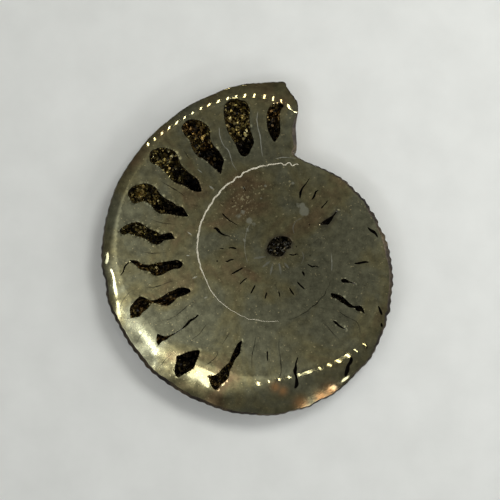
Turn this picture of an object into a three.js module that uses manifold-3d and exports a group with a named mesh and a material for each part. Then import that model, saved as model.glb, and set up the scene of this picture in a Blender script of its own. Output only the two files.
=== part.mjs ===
// Half of a pyritised ammonite, sawn along its coiling plane and polished.
// The polished face looks up (+Z) and the natural ribbed flank lies below it.
// Millimetres. The origin is on the surface that the fossil rests on, under the middle of its outline.
import * as THREE from "three";
import { mergeVertices } from "three/addons/utils/BufferGeometryUtils.js";
import Module from "manifold-3d";

const wasm = await Module();
wasm.setup();

// Overall size and place of the coil
const coilCentre = new THREE.Vector2(4.55, 0.12);
const faceHeight = 5.72;
const whorlRatio = 2.1; // each turn is this much larger than the one inside it
const firstDirection = 70; // degrees, where the outer turn leaves the inner one
const apertureTurn = 352; // degrees of turn at which the outer whorl ends, before the break is cut
const outerSteps = 159;
const innerSpans = [[-366, -176], [-184, 1.5]]; // the inner whorl in two overlapping sweeps
const innerSteps = 26;

// Every 20 degrees of turn: radius of the outer edge
const edgeRadius = [
  12.3, 12.7, 13.3, 14.1, 15.6, 17.5, 19.6, 21.4, 23.1, 23.8,
  24.2, 24.6, 24.7, 24.3, 23.7, 23.4, 23.2, 23.0, 22.9,
];
// Every 20 degrees of turn: the rounded margin of the polished face, its width and how far it drops
const bevelWidth = [
  0.6, 0.6, 0.6, 0.6, 0.7, 1.3, 3.2, 4.7, 5.0, 4.8, 4.4, 3.2, 2.0, 1.5, 1.3, 1.35, 1.9, 3.7, 10.0,
];
const bevelDrop = [
  0.02, 0.02, 0.02, 0.02, 0.06, 0.2, 0.6, 1.0, 1.05, 1.0, 0.9, 0.65, 0.45, 0.36, 0.3, 0.33, 0.45, 0.8, 2.2,
];
// Every 40 degrees of turn: how far the natural edge stands out beyond the polish
const edgeInset = [0.15, 0.4, 0.55, 0.3, 0.2, 0.5, 0.3, 0.12, 0.08, 0.08];
const bevelPower = 1.4;
const rimBand = 0.35; // height of the unpolished rim under the polish

// Flank on the natural side
const umbilicusShare = 0.36; // umbilical seam radius over whorl radius
// Every 40 degrees of turn: depth of the flank under the polished face, where the whorl is thickest
const flankDepth = [4.5, 4.95, 5.5, 5.4, 5.3, 5.55, 5.4, 5.4, 5.6, 5.3];
const innerFlankDepth = [2.9, 3.1, 3.3, 3.5, 3.7, 3.85, 4.0, 4.15, 4.3, 4.5];
const seamDepthShare = 0.58;
const shoulderAt = 0.22; // share of the flank's width where it is thickest
const seamOverlap = 0.8;
// Slope of the resting plane against the polished face, taken out here
const cutTilt = new THREE.Vector2(0.0022, -0.0029);

// Ribs: primaries near the umbilicus, each forking into two before the edge
const primaryRibs = 24;
const flankRib = 0.17;
const edgeRib = 0.12;
const ribForkFrom = 0.42;
const ribForkTo = 0.6;

// Broken end of the outer whorl, from the edge down into the notch
const brokenEnd = [
  [5.0, 23.2], [5.4, 22.6], [5.6, 22.0], [6.1, 21.2], [6.7, 20.3], [7.0, 19.6], [7.1, 18.9], [6.8, 18.1],
  [6.6, 17.2], [6.7, 16.2], [6.8, 15.1], [6.7, 14.1], [6.5, 13.4], [6.3, 13.1],
  [6.5, 12.6], [6.1, 11.0], [5.7, 9.0],
];

// Open chambers: centre line points as x, y and half width, from the outer end inwards, and depth
const chambers = [
  {
    depth: 1.8,
    line: [
      [4.0, 19.7, 0.7], [3.7, 18.9, 0.9], [3.6, 17.8, 1.0], [3.6, 16.7, 0.9], [3.7, 15.8, 0.8],
      [3.8, 15.0, 0.4], [3.8, 14.6, 0.1],
    ],
  },
  {
    depth: 2.6,
    line: [
      [-1.4, 20.2, 0.8], [-1.4, 19.5, 1.6], [-1.5, 18.4, 1.8], [-1.4, 17.1, 1.8], [-1.2, 15.9, 1.7],
      [-0.6, 14.8, 1.5], [-0.4, 13.8, 1.1], [-0.3, 12.8, 0.6],
    ],
  },
  {
    depth: 2.6,
    line: [
      [-7.6, 17.2, 1.0], [-7.0, 16.2, 1.6], [-6.3, 14.8, 1.5], [-5.6, 13.5, 1.5], [-4.5, 12.4, 1.1],
      [-4.0, 11.4, 0.8], [-3.8, 10.4, 0.2],
    ],
  },
  {
    depth: 2.5,
    line: [
      [-13.1, 12.5, 0.8], [-12.2, 12.6, 1.3], [-10.9, 12.0, 1.3], [-10.1, 10.7, 1.2],
      [-9.0, 9.7, 1.1], [-7.9, 8.9, 1.0], [-7.0, 8.3, 0.7], [-6.4, 7.9, 0.3],
    ],
  },
  {
    depth: 2.4,
    line: [
      [-15.9, 7.5, 0.8], [-15.0, 7.4, 1.3], [-14.0, 7.5, 1.2], [-12.9, 6.9, 1.3], [-11.9, 6.1, 1.2],
      [-10.8, 5.5, 1.1], [-9.7, 5.0, 0.9], [-8.8, 4.7, 0.6], [-8.2, 4.4, 0.2],
    ],
  },
  {
    depth: 2.1,
    line: [
      [-17.2, 2.3, 0.3], [-16.4, 2.6, 0.6], [-15.3, 2.6, 0.8], [-14.3, 2.1, 0.9], [-13.4, 1.6, 1.0],
      [-12.5, 1.2, 0.9], [-11.8, 1.3, 0.5], [-11.0, 1.5, 0.4], [-10.2, 1.6, 0.4],
    ],
  },
  {
    depth: 1.9,
    line: [
      [-15.9, -2.0, 0.2], [-15.3, -2.3, 0.4], [-14.6, -2.7, 0.5], [-13.8, -2.9, 0.5],
      [-12.9, -3.0, 0.7], [-12.1, -2.9, 0.9], [-11.1, -2.6, 0.8], [-10.1, -2.4, 0.7],
      [-9.3, -2.4, 0.5],
    ],
  },
  {
    depth: 2.0,
    line: [
      [-15.6, -9.0, 0.5], [-15.1, -8.3, 1.0], [-14.4, -7.7, 1.0], [-13.6, -7.7, 0.7],
      [-12.9, -7.4, 0.4], [-12.1, -7.4, 0.4], [-11.2, -7.3, 0.7], [-10.4, -6.8, 0.8],
      [-9.6, -6.4, 0.7], [-8.7, -6.0, 0.5], [-7.9, -6.0, 0.4],
    ],
  },
  {
    depth: 1.2,
    line: [
      [-12.1, -13.0, 0.2], [-12.1, -12.4, 0.5], [-11.5, -12.3, 0.4], [-10.8, -12.2, 0.2],
      [-10.1, -11.8, 0.13], [-9.3, -11.4, 0.13], [-8.6, -10.9, 0.18], [-8.1, -10.3, 0.2],
      [-7.6, -10.0, 0.17], [-7.0, -9.6, 0.16], [-6.6, -9.2, 0.1],
    ],
  },
  {
    depth: 2.0,
    line: [
      [-9.6, -17.5, 0.3], [-9.2, -16.6, 0.7], [-8.7, -15.9, 1.1], [-7.9, -15.4, 1.1],
      [-7.3, -14.9, 0.8], [-6.8, -14.5, 0.4], [-6.5, -14.1, 0.1],
    ],
  },
  {
    depth: 2.0,
    line: [
      [-4.8, -18.1, 0.6], [-4.2, -18.4, 1.1], [-3.6, -17.9, 1.2], [-2.9, -17.1, 0.8],
      [-2.4, -16.2, 0.4], [-1.9, -15.3, 0.4], [-1.4, -14.4, 0.5], [-1.1, -13.6, 0.4],
      [-0.8, -12.9, 0.1],
    ],
  },
  {
    depth: 1.3,
    line: [
      [7.0, -15.0, 0.12], [6.7, -15.8, 0.13], [6.6, -16.4, 0.17], [6.5, -16.9, 0.3],
      [6.7, -17.5, 0.18], [6.8, -18.2, 0.22], [6.7, -18.8, 0.3], [6.6, -19.4, 0.2],
    ],
  },
  {
    depth: 1.2,
    line: [
      [14.3, -15.1, 0.15], [14.2, -15.6, 0.3], [13.9, -16.1, 0.27], [13.7, -16.7, 0.3],
      [13.6, -17.3, 0.33], [13.6, -17.8, 0.15],
    ],
  },
  {
    depth: 1.6,
    line: [
      [11.7, -6.6, 0.35], [12.5, -6.8, 0.4], [13.2, -7.3, 0.4], [13.9, -7.8, 0.38],
      [14.7, -8.1, 0.26], [15.3, -8.3, 0.33], [15.8, -8.7, 0.25], [16.1, -9.0, 0.1],
    ],
  },
  { depth: 1.2, line: [[13.1, -4.5, 0.2], [13.6, -4.5, 0.3], [14.0, -4.7, 0.22], [14.5, -4.8, 0.1]] },
  {
    depth: 1.2,
    line: [
      [12.0, -10.1, 0.14], [12.3, -10.5, 0.2], [12.7, -10.8, 0.15], [13.2, -11.1, 0.1],
    ],
  },
  {
    depth: 1.4,
    line: [
      [10.3, 3.3, 0.14], [10.8, 3.5, 0.38], [11.3, 3.9, 0.41], [11.7, 4.3, 0.3], [12.1, 4.8, 0.16],
      [12.4, 5.1, 0.1],
    ],
  },
];
const pit = { depth: 0.9, line: [[3.4, -0.1, 0.8], [4.2, 0.1, 1.35], [5.2, 0.5, 1.0], [5.8, 0.6, 0.55]] };

// Narrow slits of the small inner chambers: both ends and half width
const slits = [
  [7.3, 7.1, 7.8, 8.8, 0.13], [8.9, 6.6, 9.8, 7.9, 0.1], [10.2, 5.3, 11.2, 6.6, 0.1],
  [8.1, -2.2, 9.6, -2.6, 0.1], [7.5, -3.2, 7.9, -3.9, 0.12], [6.8, -4.7, 7.9, -5.8, 0.11],
  [5.8, -5.4, 6.5, -6.6, 0.1], [4.3, -5.8, 4.6, -6.8, 0.12], [2.7, -6.0, 2.4, -7.0, 0.12],
  [1.2, -4.9, 0.5, -6.4, 0.12], [0.1, -4.0, -1.0, -5.1, 0.1], [-0.5, -2.7, -2.2, -3.6, 0.13],
  [-1.9, -1.5, -3.0, -1.8, 0.1], [-1.4, -0.2, -2.7, -0.1, 0.1], [-3.4, 4.8, -1.2, 3.0, 0.1],
  [-4.6, 2.6, -3.5, 1.9, 0.16], [14.7, -2.1, 16.6, -1.9, 0.13],
];
const slitDepth = 0.9;
const pitWallSteps = 4;

const radians = THREE.MathUtils.degToRad;
const smooth = THREE.MathUtils.smoothstep;
const mix = THREE.MathUtils.lerp;

// A smooth function of turn through values that are equally far apart
function alongTurn(values, step) {
  const curve = new THREE.SplineCurve(values.map((v, i) => new THREE.Vector2(i * step, v)));
  const last = (values.length - 1) * step;
  return (turn) => curve.getPoint(THREE.MathUtils.clamp(turn / last, 0, 1)).y;
}

const outerRadius = alongTurn(edgeRadius, 20);
const widthOfBevel = alongTurn(bevelWidth, 20);
const dropOfBevel = alongTurn(bevelDrop, 20);
const insetOfEdge = alongTurn(edgeInset, 40);
const depthOfFlank = alongTurn(flankDepth, 40);
const depthOfInnerFlank = alongTurn(innerFlankDepth, 40);

// Radius of the outer edge at a turn. Below zero it is the inner whorl, which swells to meet the outer one
function whorlRadius(turn) {
  if (turn >= 0) return outerRadius(turn);
  const swell = edgeRadius[0] / (outerRadius(360) / whorlRatio) - 1;
  return (outerRadius(turn + 360) / whorlRatio) * (1 + swell * smooth(turn, -60, 0));
}

// Radius of the umbilical seam, a plain logarithmic spiral
function seamRadius(turn) {
  const radiusAt250 = 24;
  return umbilicusShare * radiusAt250 * whorlRatio ** ((turn - 250) / 360);
}

// Depth of the flank at a share of the way from the seam (0) to the edge (1), as a share of the half width
function flankShare(t) {
  if (t < shoulderAt) return mix(seamDepthShare, 1, Math.sin((t / shoulderAt) * (Math.PI / 2)));
  return (1 - ((t - shoulderAt) / (1 - shoulderAt)) ** 2.4) ** 0.55;
}

// Height of the ribs, from -1 to 1, at a turn and a share of the flank's width
function ribWave(turn, t) {
  const sweep = 0.3 * t - 0.9 * t * t;
  const phase = 2 * Math.PI * ((primaryRibs * turn) / 360 + sweep);
  return mix(Math.cos(phase), Math.cos(2 * phase), smooth(t, ribForkFrom, ribForkTo));
}

function pointAt(turn, radius, z) {
  const direction = radians(firstDirection - turn);
  return new THREE.Vector3(
    coilCentre.x + radius * Math.cos(direction),
    coilCentre.y + radius * Math.sin(direction),
    z,
  );
}

// A point of the natural flank
function flankPoint(turn, t) {
  const edge = whorlRadius(turn);
  const seam = seamRadius(turn);
  const share = flankShare(t);
  const depth = turn < 0 ? depthOfInnerFlank(turn + 360) : depthOfFlank(turn);
  const rimDepth = dropOfBevel(turn) + rimBand;
  const rib = flankRib * ribWave(turn, t) * share * smooth(t, 0.02, 0.15);
  const point = pointAt(turn, mix(seam, edge + edgeRib * ribWave(turn, 1), t), 0);
  const tilt = cutTilt.x * point.x + cutTilt.y * point.y;
  point.z = faceHeight - mix(rimDepth, depth + rib + tilt, share);
  return point;
}

// One cross section of a whorl: the face from inside out, the rim, then the flank back in
function whorlSection(turn, isOuter) {
  const edge = whorlRadius(turn) + edgeRib * ribWave(turn, 1);
  const inner = seamRadius(turn) - seamOverlap;
  const polish = edge - insetOfEdge(turn);
  const width = isOuter ? widthOfBevel(turn) : bevelWidth[0];
  const drop = isOuter ? dropOfBevel(turn) : bevelDrop[0];
  const section = [pointAt(turn, inner, faceHeight)];
  for (const share of [1, 0.6, 0.3, 0]) {
    section.push(pointAt(turn, polish - width * share, faceHeight - drop * (1 - share) ** bevelPower));
  }
  for (const t of [1, 0.985, 0.93, 0.83, 0.68, 0.5, 0.34, 0.22, 0.1, 0]) section.push(flankPoint(turn, t));
  const seam = section.at(-1);
  section.push(pointAt(turn, inner, seam.z));
  return section;
}

// A closed solid through rings that have the same number of points, with flat ends
function loft(rings, flatten) {
  const count = rings[0].length;
  const position = rings.flat().flatMap((p) => p.toArray());
  const faces = [];
  for (let i = 0; i + 1 < rings.length; i++) {
    for (let j = 0; j < count; j++) {
      const a = i * count + j;
      const b = i * count + ((j + 1) % count);
      faces.push(a, b, b + count, a, b + count, a + count);
    }
  }
  const cap = (ring) => THREE.ShapeUtils.triangulateShape(ring.map(flatten), []);
  const last = (rings.length - 1) * count;
  const turned = THREE.ShapeUtils.isClockWise(rings[0].map(flatten));
  for (const [a, b, c] of cap(rings[0])) faces.push(...(turned ? [a, b, c] : [a, c, b]));
  for (const [a, b, c] of cap(rings.at(-1))) {
    faces.push(last + a, ...(turned ? [last + c, last + b] : [last + b, last + c]));
  }
  const geometry = new THREE.BufferGeometry();
  geometry.setAttribute("position", new THREE.Float32BufferAttribute(position, 3));
  geometry.setIndex(faces);
  return geometry;
}

// A geometry as a solid for joining and cutting
function solid(geometry) {
  const bare = geometry.clone();
  for (const name of ["normal", "uv"]) bare.deleteAttribute(name);
  const merged = mergeVertices(bare, 1e-4);
  const made = new wasm.Manifold(
    new wasm.Mesh({
      numProp: 3,
      vertProperties: new Float32Array(merged.attributes.position.array),
      triVerts: new Uint32Array(merged.index.array),
    }),
  );
  if (made.volume() >= 0) return made;
  const index = merged.index.array;
  for (let i = 0; i < index.length; i += 3) [index[i], index[i + 1]] = [index[i + 1], index[i]];
  return solid(merged);
}

// One whorl, swept from one turn to another
function whorl(from, to, steps, isOuter) {
  const rings = [];
  for (let i = 0; i <= steps; i++) rings.push(whorlSection(mix(from, to, i / steps), isOuter));
  const flatten = (p) => new THREE.Vector2(Math.hypot(p.x - coilCentre.x, p.y - coilCentre.y), p.z);
  return solid(loft(rings, flatten));
}

// The innermost whorls, worn down to a low button in the middle of the umbilicus
function core() {
  const profile = [
    [0, 0], [4.9, 0], [4.9, 1.4], [4.3, 2.05], [3.4, 2.3],
    [2.9, 2.1], [2.3, 2.15], [1.3, 2.45], [0, 2.5],
  ];
  const button = new THREE.LatheGeometry(profile.map(([r, depth]) => new THREE.Vector2(r, depth)), 32);
  button.rotateX(-Math.PI / 2);
  button.translate(coilCentre.x, coilCentre.y, faceHeight);
  return solid(button);
}

// Everything past the broken end of the outer whorl, as far as the direction where that whorl begins
function brokenAway() {
  const corner = (radius) => {
    const p = pointAt(-0.3, radius, 0);
    return [p.x, p.y];
  };
  const outline = [[5.0, 28], ...brokenEnd, [5.2, 6.5], corner(7.5), corner(30)];
  const shape = new THREE.Shape(outline.map(([x, y]) => new THREE.Vector2(x, y)));
  const prism = new THREE.ExtrudeGeometry(shape, { depth: 20, bevelEnabled: false });
  prism.translate(0, 0, -5);
  return solid(prism);
}

// The outline of an opening around its centre line, with its half width multiplied by a share
function openingRing(curve, steps, share, z) {
  const left = [];
  const right = [];
  for (let i = 0; i <= steps; i++) {
    const p = curve.getPoint(i / steps);
    const along = curve.getTangent(i / steps).setZ(0).normalize();
    const reach = p.z * share;
    const end = i === 0 ? -1 : i === steps ? 1 : 0;
    if (end) {
      left.push(new THREE.Vector3(p.x + end * along.x * reach, p.y + end * along.y * reach, z));
      continue;
    }
    left.push(new THREE.Vector3(p.x - along.y * reach, p.y + along.x * reach, z));
    right.unshift(new THREE.Vector3(p.x + along.y * reach, p.y - along.x * reach, z));
  }
  return [...left, ...right];
}

// An open chamber as the solid to cut away: straight walls, then a floor that narrows
function opening({ line, depth }, stepsPerPoint) {
  const curve = new THREE.CatmullRomCurve3(line.map((p) => new THREE.Vector3(...p)));
  const steps = (line.length - 1) * stepsPerPoint;
  const levels = [[1.05, faceHeight + 1], [0.95, faceHeight - 0.6 * depth], [0.5, faceHeight - depth]];
  const rings = levels.map(([share, z]) => openingRing(curve, steps, share, z));
  return solid(loft(rings, (p) => new THREE.Vector2(p.x, p.y)));
}

// A narrow slit as the solid to cut away, a pointed lens with straight walls
function slit([x1, y1, x2, y2, halfWidth]) {
  const middle = [mix(x1, x2, 0.5), mix(y1, y2, 0.5), halfWidth];
  const line = [[x1, y1, halfWidth / 2], middle, [x2, y2, halfWidth / 2]];
  return opening({ line, depth: slitDepth }, 1);
}

let half = whorl(0, apertureTurn, outerSteps, true).subtract(brokenAway());
for (const [from, to] of innerSpans) half = half.add(whorl(from, to, innerSteps, false));
half = half.add(core());
for (const chamber of chambers) half = half.subtract(opening(chamber, 1));
half = half.subtract(opening(pit, pitWallSteps));
for (const ends of slits) half = half.subtract(slit(ends));

// The finished solid as a mesh
function meshOf(made, name, material) {
  const { numProp, vertProperties, triVerts } = made.getMesh();
  const position = [];
  for (let i = 0; i < vertProperties.length; i += numProp) {
    position.push(...vertProperties.subarray(i, i + 3));
  }
  const geometry = new THREE.BufferGeometry();
  geometry.setAttribute("position", new THREE.Float32BufferAttribute(position, 3));
  geometry.setIndex([...triVerts]);
  geometry.computeVertexNormals();
  const mesh = new THREE.Mesh(geometry, material);
  mesh.name = name;
  return mesh;
}

const polishedPyrite = new THREE.MeshStandardMaterial({ color: 0x6b6852, roughness: 0.25, metalness: 0.9 });

const ammonite = new THREE.Group();
ammonite.add(meshOf(half, "ammonite_half", polishedPyrite));

export default ammonite;
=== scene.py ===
# Polished half of a pyritised ammonite, lying face up on a pale board.
# Lengths in the dictionaries are millimetres, but metres for the board, the camera and the lamps.
import bmesh
import bpy
import math
import random
import numpy as np
from mathutils import Matrix, Vector, noise
from mathutils.geometry import delaunay_2d_cdt


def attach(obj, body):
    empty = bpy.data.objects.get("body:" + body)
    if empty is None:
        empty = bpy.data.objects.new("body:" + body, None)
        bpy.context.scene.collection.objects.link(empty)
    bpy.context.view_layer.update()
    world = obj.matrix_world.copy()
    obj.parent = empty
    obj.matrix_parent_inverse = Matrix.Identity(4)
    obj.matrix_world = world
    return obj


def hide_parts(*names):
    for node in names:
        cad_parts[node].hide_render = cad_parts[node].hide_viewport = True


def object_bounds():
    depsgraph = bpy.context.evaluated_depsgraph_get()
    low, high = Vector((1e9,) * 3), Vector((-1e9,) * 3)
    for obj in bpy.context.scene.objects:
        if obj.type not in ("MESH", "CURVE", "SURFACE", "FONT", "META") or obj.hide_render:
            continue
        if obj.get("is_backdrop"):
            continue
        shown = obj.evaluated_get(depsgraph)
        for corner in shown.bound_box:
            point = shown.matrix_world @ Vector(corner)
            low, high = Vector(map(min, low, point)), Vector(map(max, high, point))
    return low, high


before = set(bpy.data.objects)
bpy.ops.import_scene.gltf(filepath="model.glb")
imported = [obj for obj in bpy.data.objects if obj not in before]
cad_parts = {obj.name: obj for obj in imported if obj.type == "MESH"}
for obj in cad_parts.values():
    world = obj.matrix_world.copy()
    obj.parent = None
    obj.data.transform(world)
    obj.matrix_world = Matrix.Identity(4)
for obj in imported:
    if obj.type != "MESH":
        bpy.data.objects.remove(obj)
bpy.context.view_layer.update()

mm = 0.001

# curves, noise and distances in the plane of the face


def catmull(p0, p1, p2, p3, t):
    v0, v1 = (p2 - p0) / 2, (p3 - p1) / 2
    return (2 * p1 - 2 * p2 + v0 + v1) * t**3 + (3 * (p2 - p1) - 2 * v0 - v1) * t**2 + v0 * t + p1


def alongTurn(values, step):
    # a smooth function of turn through values that are equally far apart
    v = np.array([values[0], *values, values[-1]], float)

    def at(turn):
        u = np.clip(np.asarray(turn, float) / step, 0, len(values) - 1 - 1e-9)
        i = u.astype(int)
        return catmull(v[i], v[i + 1], v[i + 2], v[i + 3], u - i)

    return at


def smoothCurve(points, step, closed=False):
    p = np.array(points, float)
    p = np.vstack([p[-1], p, p[0], p[1]]) if closed else np.vstack([2 * p[0] - p[1], p, 2 * p[-1] - p[-2]])
    made = []
    for i in range(len(p) - 3):
        count = max(1, round(float(np.hypot(*(p[i + 2] - p[i + 1])) / step)))
        for k in range(count):
            made.append(catmull(p[i], p[i + 1], p[i + 2], p[i + 3], k / count))
    if not closed:
        made.append(p[-2])
    return np.array(made)


def outward(curve, closed=True):
    # unit vectors to the left of the curve's direction
    ahead = np.roll(curve, -1, 0) if closed else np.vstack([curve[1:], 2 * curve[-1] - curve[-2]])
    behind = np.roll(curve, 1, 0) if closed else np.vstack([2 * curve[0] - curve[1], curve[:-1]])
    along = ahead - behind
    along /= np.maximum(np.hypot(along[:, 0], along[:, 1])[:, None], 1e-9)
    return np.column_stack([-along[:, 1], along[:, 0]])


def wobble(x, y, size, seed=0.0):
    # smooth noise from -1 to 1 at points, with features of about that many millimetres
    places = zip(np.ravel(x), np.ravel(y))
    return np.array([noise.noise((a / size + seed, b / size - seed, seed)) for a, b in places])


def smoothstep(x, low, high):
    t = np.clip((x - low) / (high - low), 0, 1)
    return t * t * (3 - 2 * t)


def nearest(x, y, line):
    # distance to the closest point of a line, and which point it is
    best, which = np.full(len(x), 1e9), np.zeros(len(x), int)
    for start in range(0, len(x), 2000):
        part = slice(start, start + 2000)
        d = np.hypot(x[part, None] - line[None, :, 0], y[part, None] - line[None, :, 1])
        which[part] = d.argmin(1)
        best[part] = d.min(1)
    return best, which


def inside(x, y, polygon):
    hit = np.zeros(len(x), bool)
    ax, ay = polygon[-1]
    for bx, by in polygon:
        crosses = (ay > y) != (by > y)
        if ay != by:
            hit ^= crosses & (x < (bx - ax) * (y - ay) / (by - ay) + ax)
        ax, ay = bx, by
    return hit


def edgeDistance(x, y, polygon):
    best = np.full(len(x), 1e9)
    for a, b in zip(polygon, np.roll(polygon, -1, 0)):
        ab = b - a
        t = np.clip(((x - a[0]) * ab[0] + (y - a[1]) * ab[1]) / max(float(ab @ ab), 1e-12), 0, 1)
        best = np.minimum(best, np.hypot(x - a[0] - t * ab[0], y - a[1] - t * ab[1]))
    return best


def ribbon(points, halfWidths, step, wander=0.0, seed=0.0):
    # a narrow strip around a smooth line, pointed at both ends, and its centre line
    line = smoothCurve(points, step)
    widths = np.interp(np.linspace(0, 1, len(line)), np.linspace(0, 1, len(halfWidths)), halfWidths)
    side = outward(line, False)
    if wander:
        line = line + side * (wander * wobble(line[:, 0], line[:, 1], 0.55, seed))[:, None]
        widths = widths * (1 + 0.35 * wobble(line[:, 0], line[:, 1], 0.4, seed + 4))
    left, right = line[1:-1] + side[1:-1] * widths[1:-1, None], line[1:-1] - side[1:-1] * widths[1:-1, None]
    if len(line) < 3:
        middle = line.mean(0)
        left, right = middle[None] + side[:1] * widths[0], middle[None] - side[:1] * widths[0]
    return np.vstack([line[:1], right, line[-1:], left[::-1]]), line


def hexGrid(low, high, step, jitter, rng):
    rows = []
    for j, y in enumerate(np.arange(low[1], high[1], step * 0.866)):
        x = np.arange(low[0] + (j % 2) * step / 2, high[0], step)
        rows.append(np.column_stack([x, np.full(len(x), y)]))
    grid = np.vstack(rows)
    return grid + rng.uniform(-jitter, jitter, grid.shape) * step


def planar(loops, lines, points):
    # flat triangles between closed loops, open lines and loose points, and the loops that each triangle is in
    verts, edges, faces = [], [], []
    for loop in loops:
        faces.append(list(range(len(verts), len(verts) + len(loop))))
        verts.extend(map(tuple, loop))
    for line in lines:
        edges.extend((len(verts) + k, len(verts) + k + 1) for k in range(len(line) - 1))
        verts.extend(map(tuple, line))
    verts.extend(map(tuple, points))
    made = delaunay_2d_cdt([Vector(v) for v in verts], edges, faces, 1, 1e-6, True)
    found = {}
    for new, olds in enumerate(made[3]):
        for old in olds:
            found[old] = new
    kept = [k for k, owners in enumerate(made[5]) if 0 in owners]  # the first loop is the outline
    flat = np.array([tuple(v) for v in made[0]])
    return flat, [list(made[2][k]) for k in kept], [made[5][k] for k in kept], found


# outline of the shell

coil = {
    "centre": (4.55, 0.12),
    "firstDirection": 70,        # degrees, where the outer turn leaves the inner one
    "whorlRatio": 2.1,           # each turn is this much larger than the one inside it
    "seamRadius": 0.36 * 24,     # at 250 degrees of turn: the umbilical seam's share of the whorl's radius
    # every 20 degrees of turn
    "bevelWidth": [
        0.6, 0.6, 0.6, 0.6, 0.7, 1.3, 3.2, 4.7, 5.0, 4.8,
        4.4, 3.2, 2.0, 1.5, 1.3, 1.35, 1.9, 3.7, 10.0,
    ],
    "bevelDrop": [
        0.015, 0.015, 0.015, 0.02, 0.06, 0.2, 0.6, 1.0, 1.05, 1.0,
        0.9, 0.65, 0.45, 0.36, 0.3, 0.33, 0.45, 0.8, 2.2,
    ],
    "bevelPower": 1.4,
    # every 40 degrees of turn
    "bandWidth": [0.15, 0.4, 0.55, 0.3, 0.2, 0.5, 0.3, 0.12, 0.08, 0.08],
    "bevelUnevenness": [0, 0, 0, 0, 0.01, 0.08, 0.1, 0.02, 0, 0],
    "bandDrop": 0.35,
    "bevelBlend": 0.4,           # how far the bevel's width and drop are blended along the edge
    "bevelSlide": 0.15,          # most that a point may lie beside the edge point it is measured from
    "swellTurn": 60,             # degrees over which the inner whorl swells to meet the outer one
}

face = {
    "height": 5.72,
    "gridStep": 0.4,
    "bevelStep": 0.28,
    "creaseStep": 0.15,
    "edgeStep": 0.25,
    "brokenStep": 0.3,
    "brokenRoughness": 0.07,
    # the growing edge, clockwise from the notch to the broken end
    "edge": [
        (6.58, 12.74), (7.26, 12.33), (7.67, 12.05), (8.63, 11.64), (10, 11.1), (11.78, 10.27),
        (13.42, 9.32), (14.79, 7.95), (16.16, 6.58), (16.99, 5.21), (17.67, 4.25), (18.22, 2.74),
        (18.77, 1.92), (19.04, 1.1), (19.45, 0), (19.73, -1.64), (20, -3.7), (20, -5.07),
        (19.73, -7.12), (19.59, -8.77), (19.11, -9.45), (19.18, -10.14), (18.63, -11.64),
        (17.95, -13.29), (16.85, -15.34), (15.48, -16.71), (14.11, -18.22), (12.74, -19.45),
        (11.37, -20.41), (10, -20.96), (8.63, -21.78), (7.26, -22.19), (5.89, -22.47), (4.52, -22.88),
        (2.47, -23.01), (0.41, -22.88), (-2.05, -22.6), (-4.38, -21.92), (-5.75, -21.37),
        (-7.81, -20.55), (-9.86, -19.32), (-11.92, -17.95), (-13.7, -16.44), (-15.07, -14.66),
        (-16.3, -13.01), (-17.67, -10.55), (-18.49, -8.9), (-19.18, -7.12), (-19.32, -6.16),
        (-19.45, -4.66), (-19.86, -3.29), (-20, -1.64), (-20, -0.27), (-19.86, 1.1), (-19.59, 3.15),
        (-19.18, 4.93), (-18.63, 6.85), (-18.08, 8.36), (-17.4, 9.73), (-16.03, 11.92), (-14.93, 13.42),
        (-13.97, 14.66), (-13.29, 15.41), (-11.92, 16.71), (-10.55, 17.81), (-9.18, 18.9),
        (-7.81, 19.79), (-6.44, 20.48), (-4.38, 21.37), (-3.01, 21.99), (-0.96, 22.53), (0.41, 22.74),
        (2.47, 22.88), (3.7, 23.01),
    ],
    # the broken end of the outer whorl, down into the notch
    "brokenEnd": [
        (3.7, 23.01), (4.11, 22.88), (4.52, 23.01), (4.93, 23.01), (5.34, 22.74), (5.41, 22.4),
        (5.89, 21.64), (6.58, 20.68), (6.99, 20), (7.05, 18.9), (6.92, 18.22), (6.71, 17.26),
        (6.71, 16.44), (6.78, 15.48), (6.85, 14.11), (6.71, 13.42), (6.3, 13.15), (6.58, 12.74),
    ],
    # every 40 degrees of turn: how far the edge waves in and out with the rib ends, and their spacing
    "ribEndSwing": [0.03, 0.07, 0.08, 0.05, 0.03, 0.05, 0.055, 0.02, 0.01, 0.01],
    "ribEndSpacing": [1.15, 1.15, 1.15, 1.2, 1.2, 1.25, 1.3, 1.4, 1.6, 1.6],
}


def polar(x, y):
    dx, dy = x - coil["centre"][0], y - coil["centre"][1]
    turn = np.mod(coil["firstDirection"] - np.degrees(np.arctan2(dy, dx)), 360)
    return turn, np.hypot(dx, dy)


def place(turn, radius):
    direction = np.radians(coil["firstDirection"] - np.asarray(turn))
    return coil["centre"][0] + radius * np.cos(direction), coil["centre"][1] + radius * np.sin(direction)


bandWidth = alongTurn(coil["bandWidth"], 40)
bevelWidth = alongTurn(coil["bevelWidth"], 20)
bevelDrop = alongTurn(coil["bevelDrop"], 20)
ribEndSwing = alongTurn(face["ribEndSwing"], 40)

calmEdge = smoothCurve(face["edge"], face["edgeStep"])
grownTurn, grownRadius = polar(*calmEdge.T)
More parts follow.
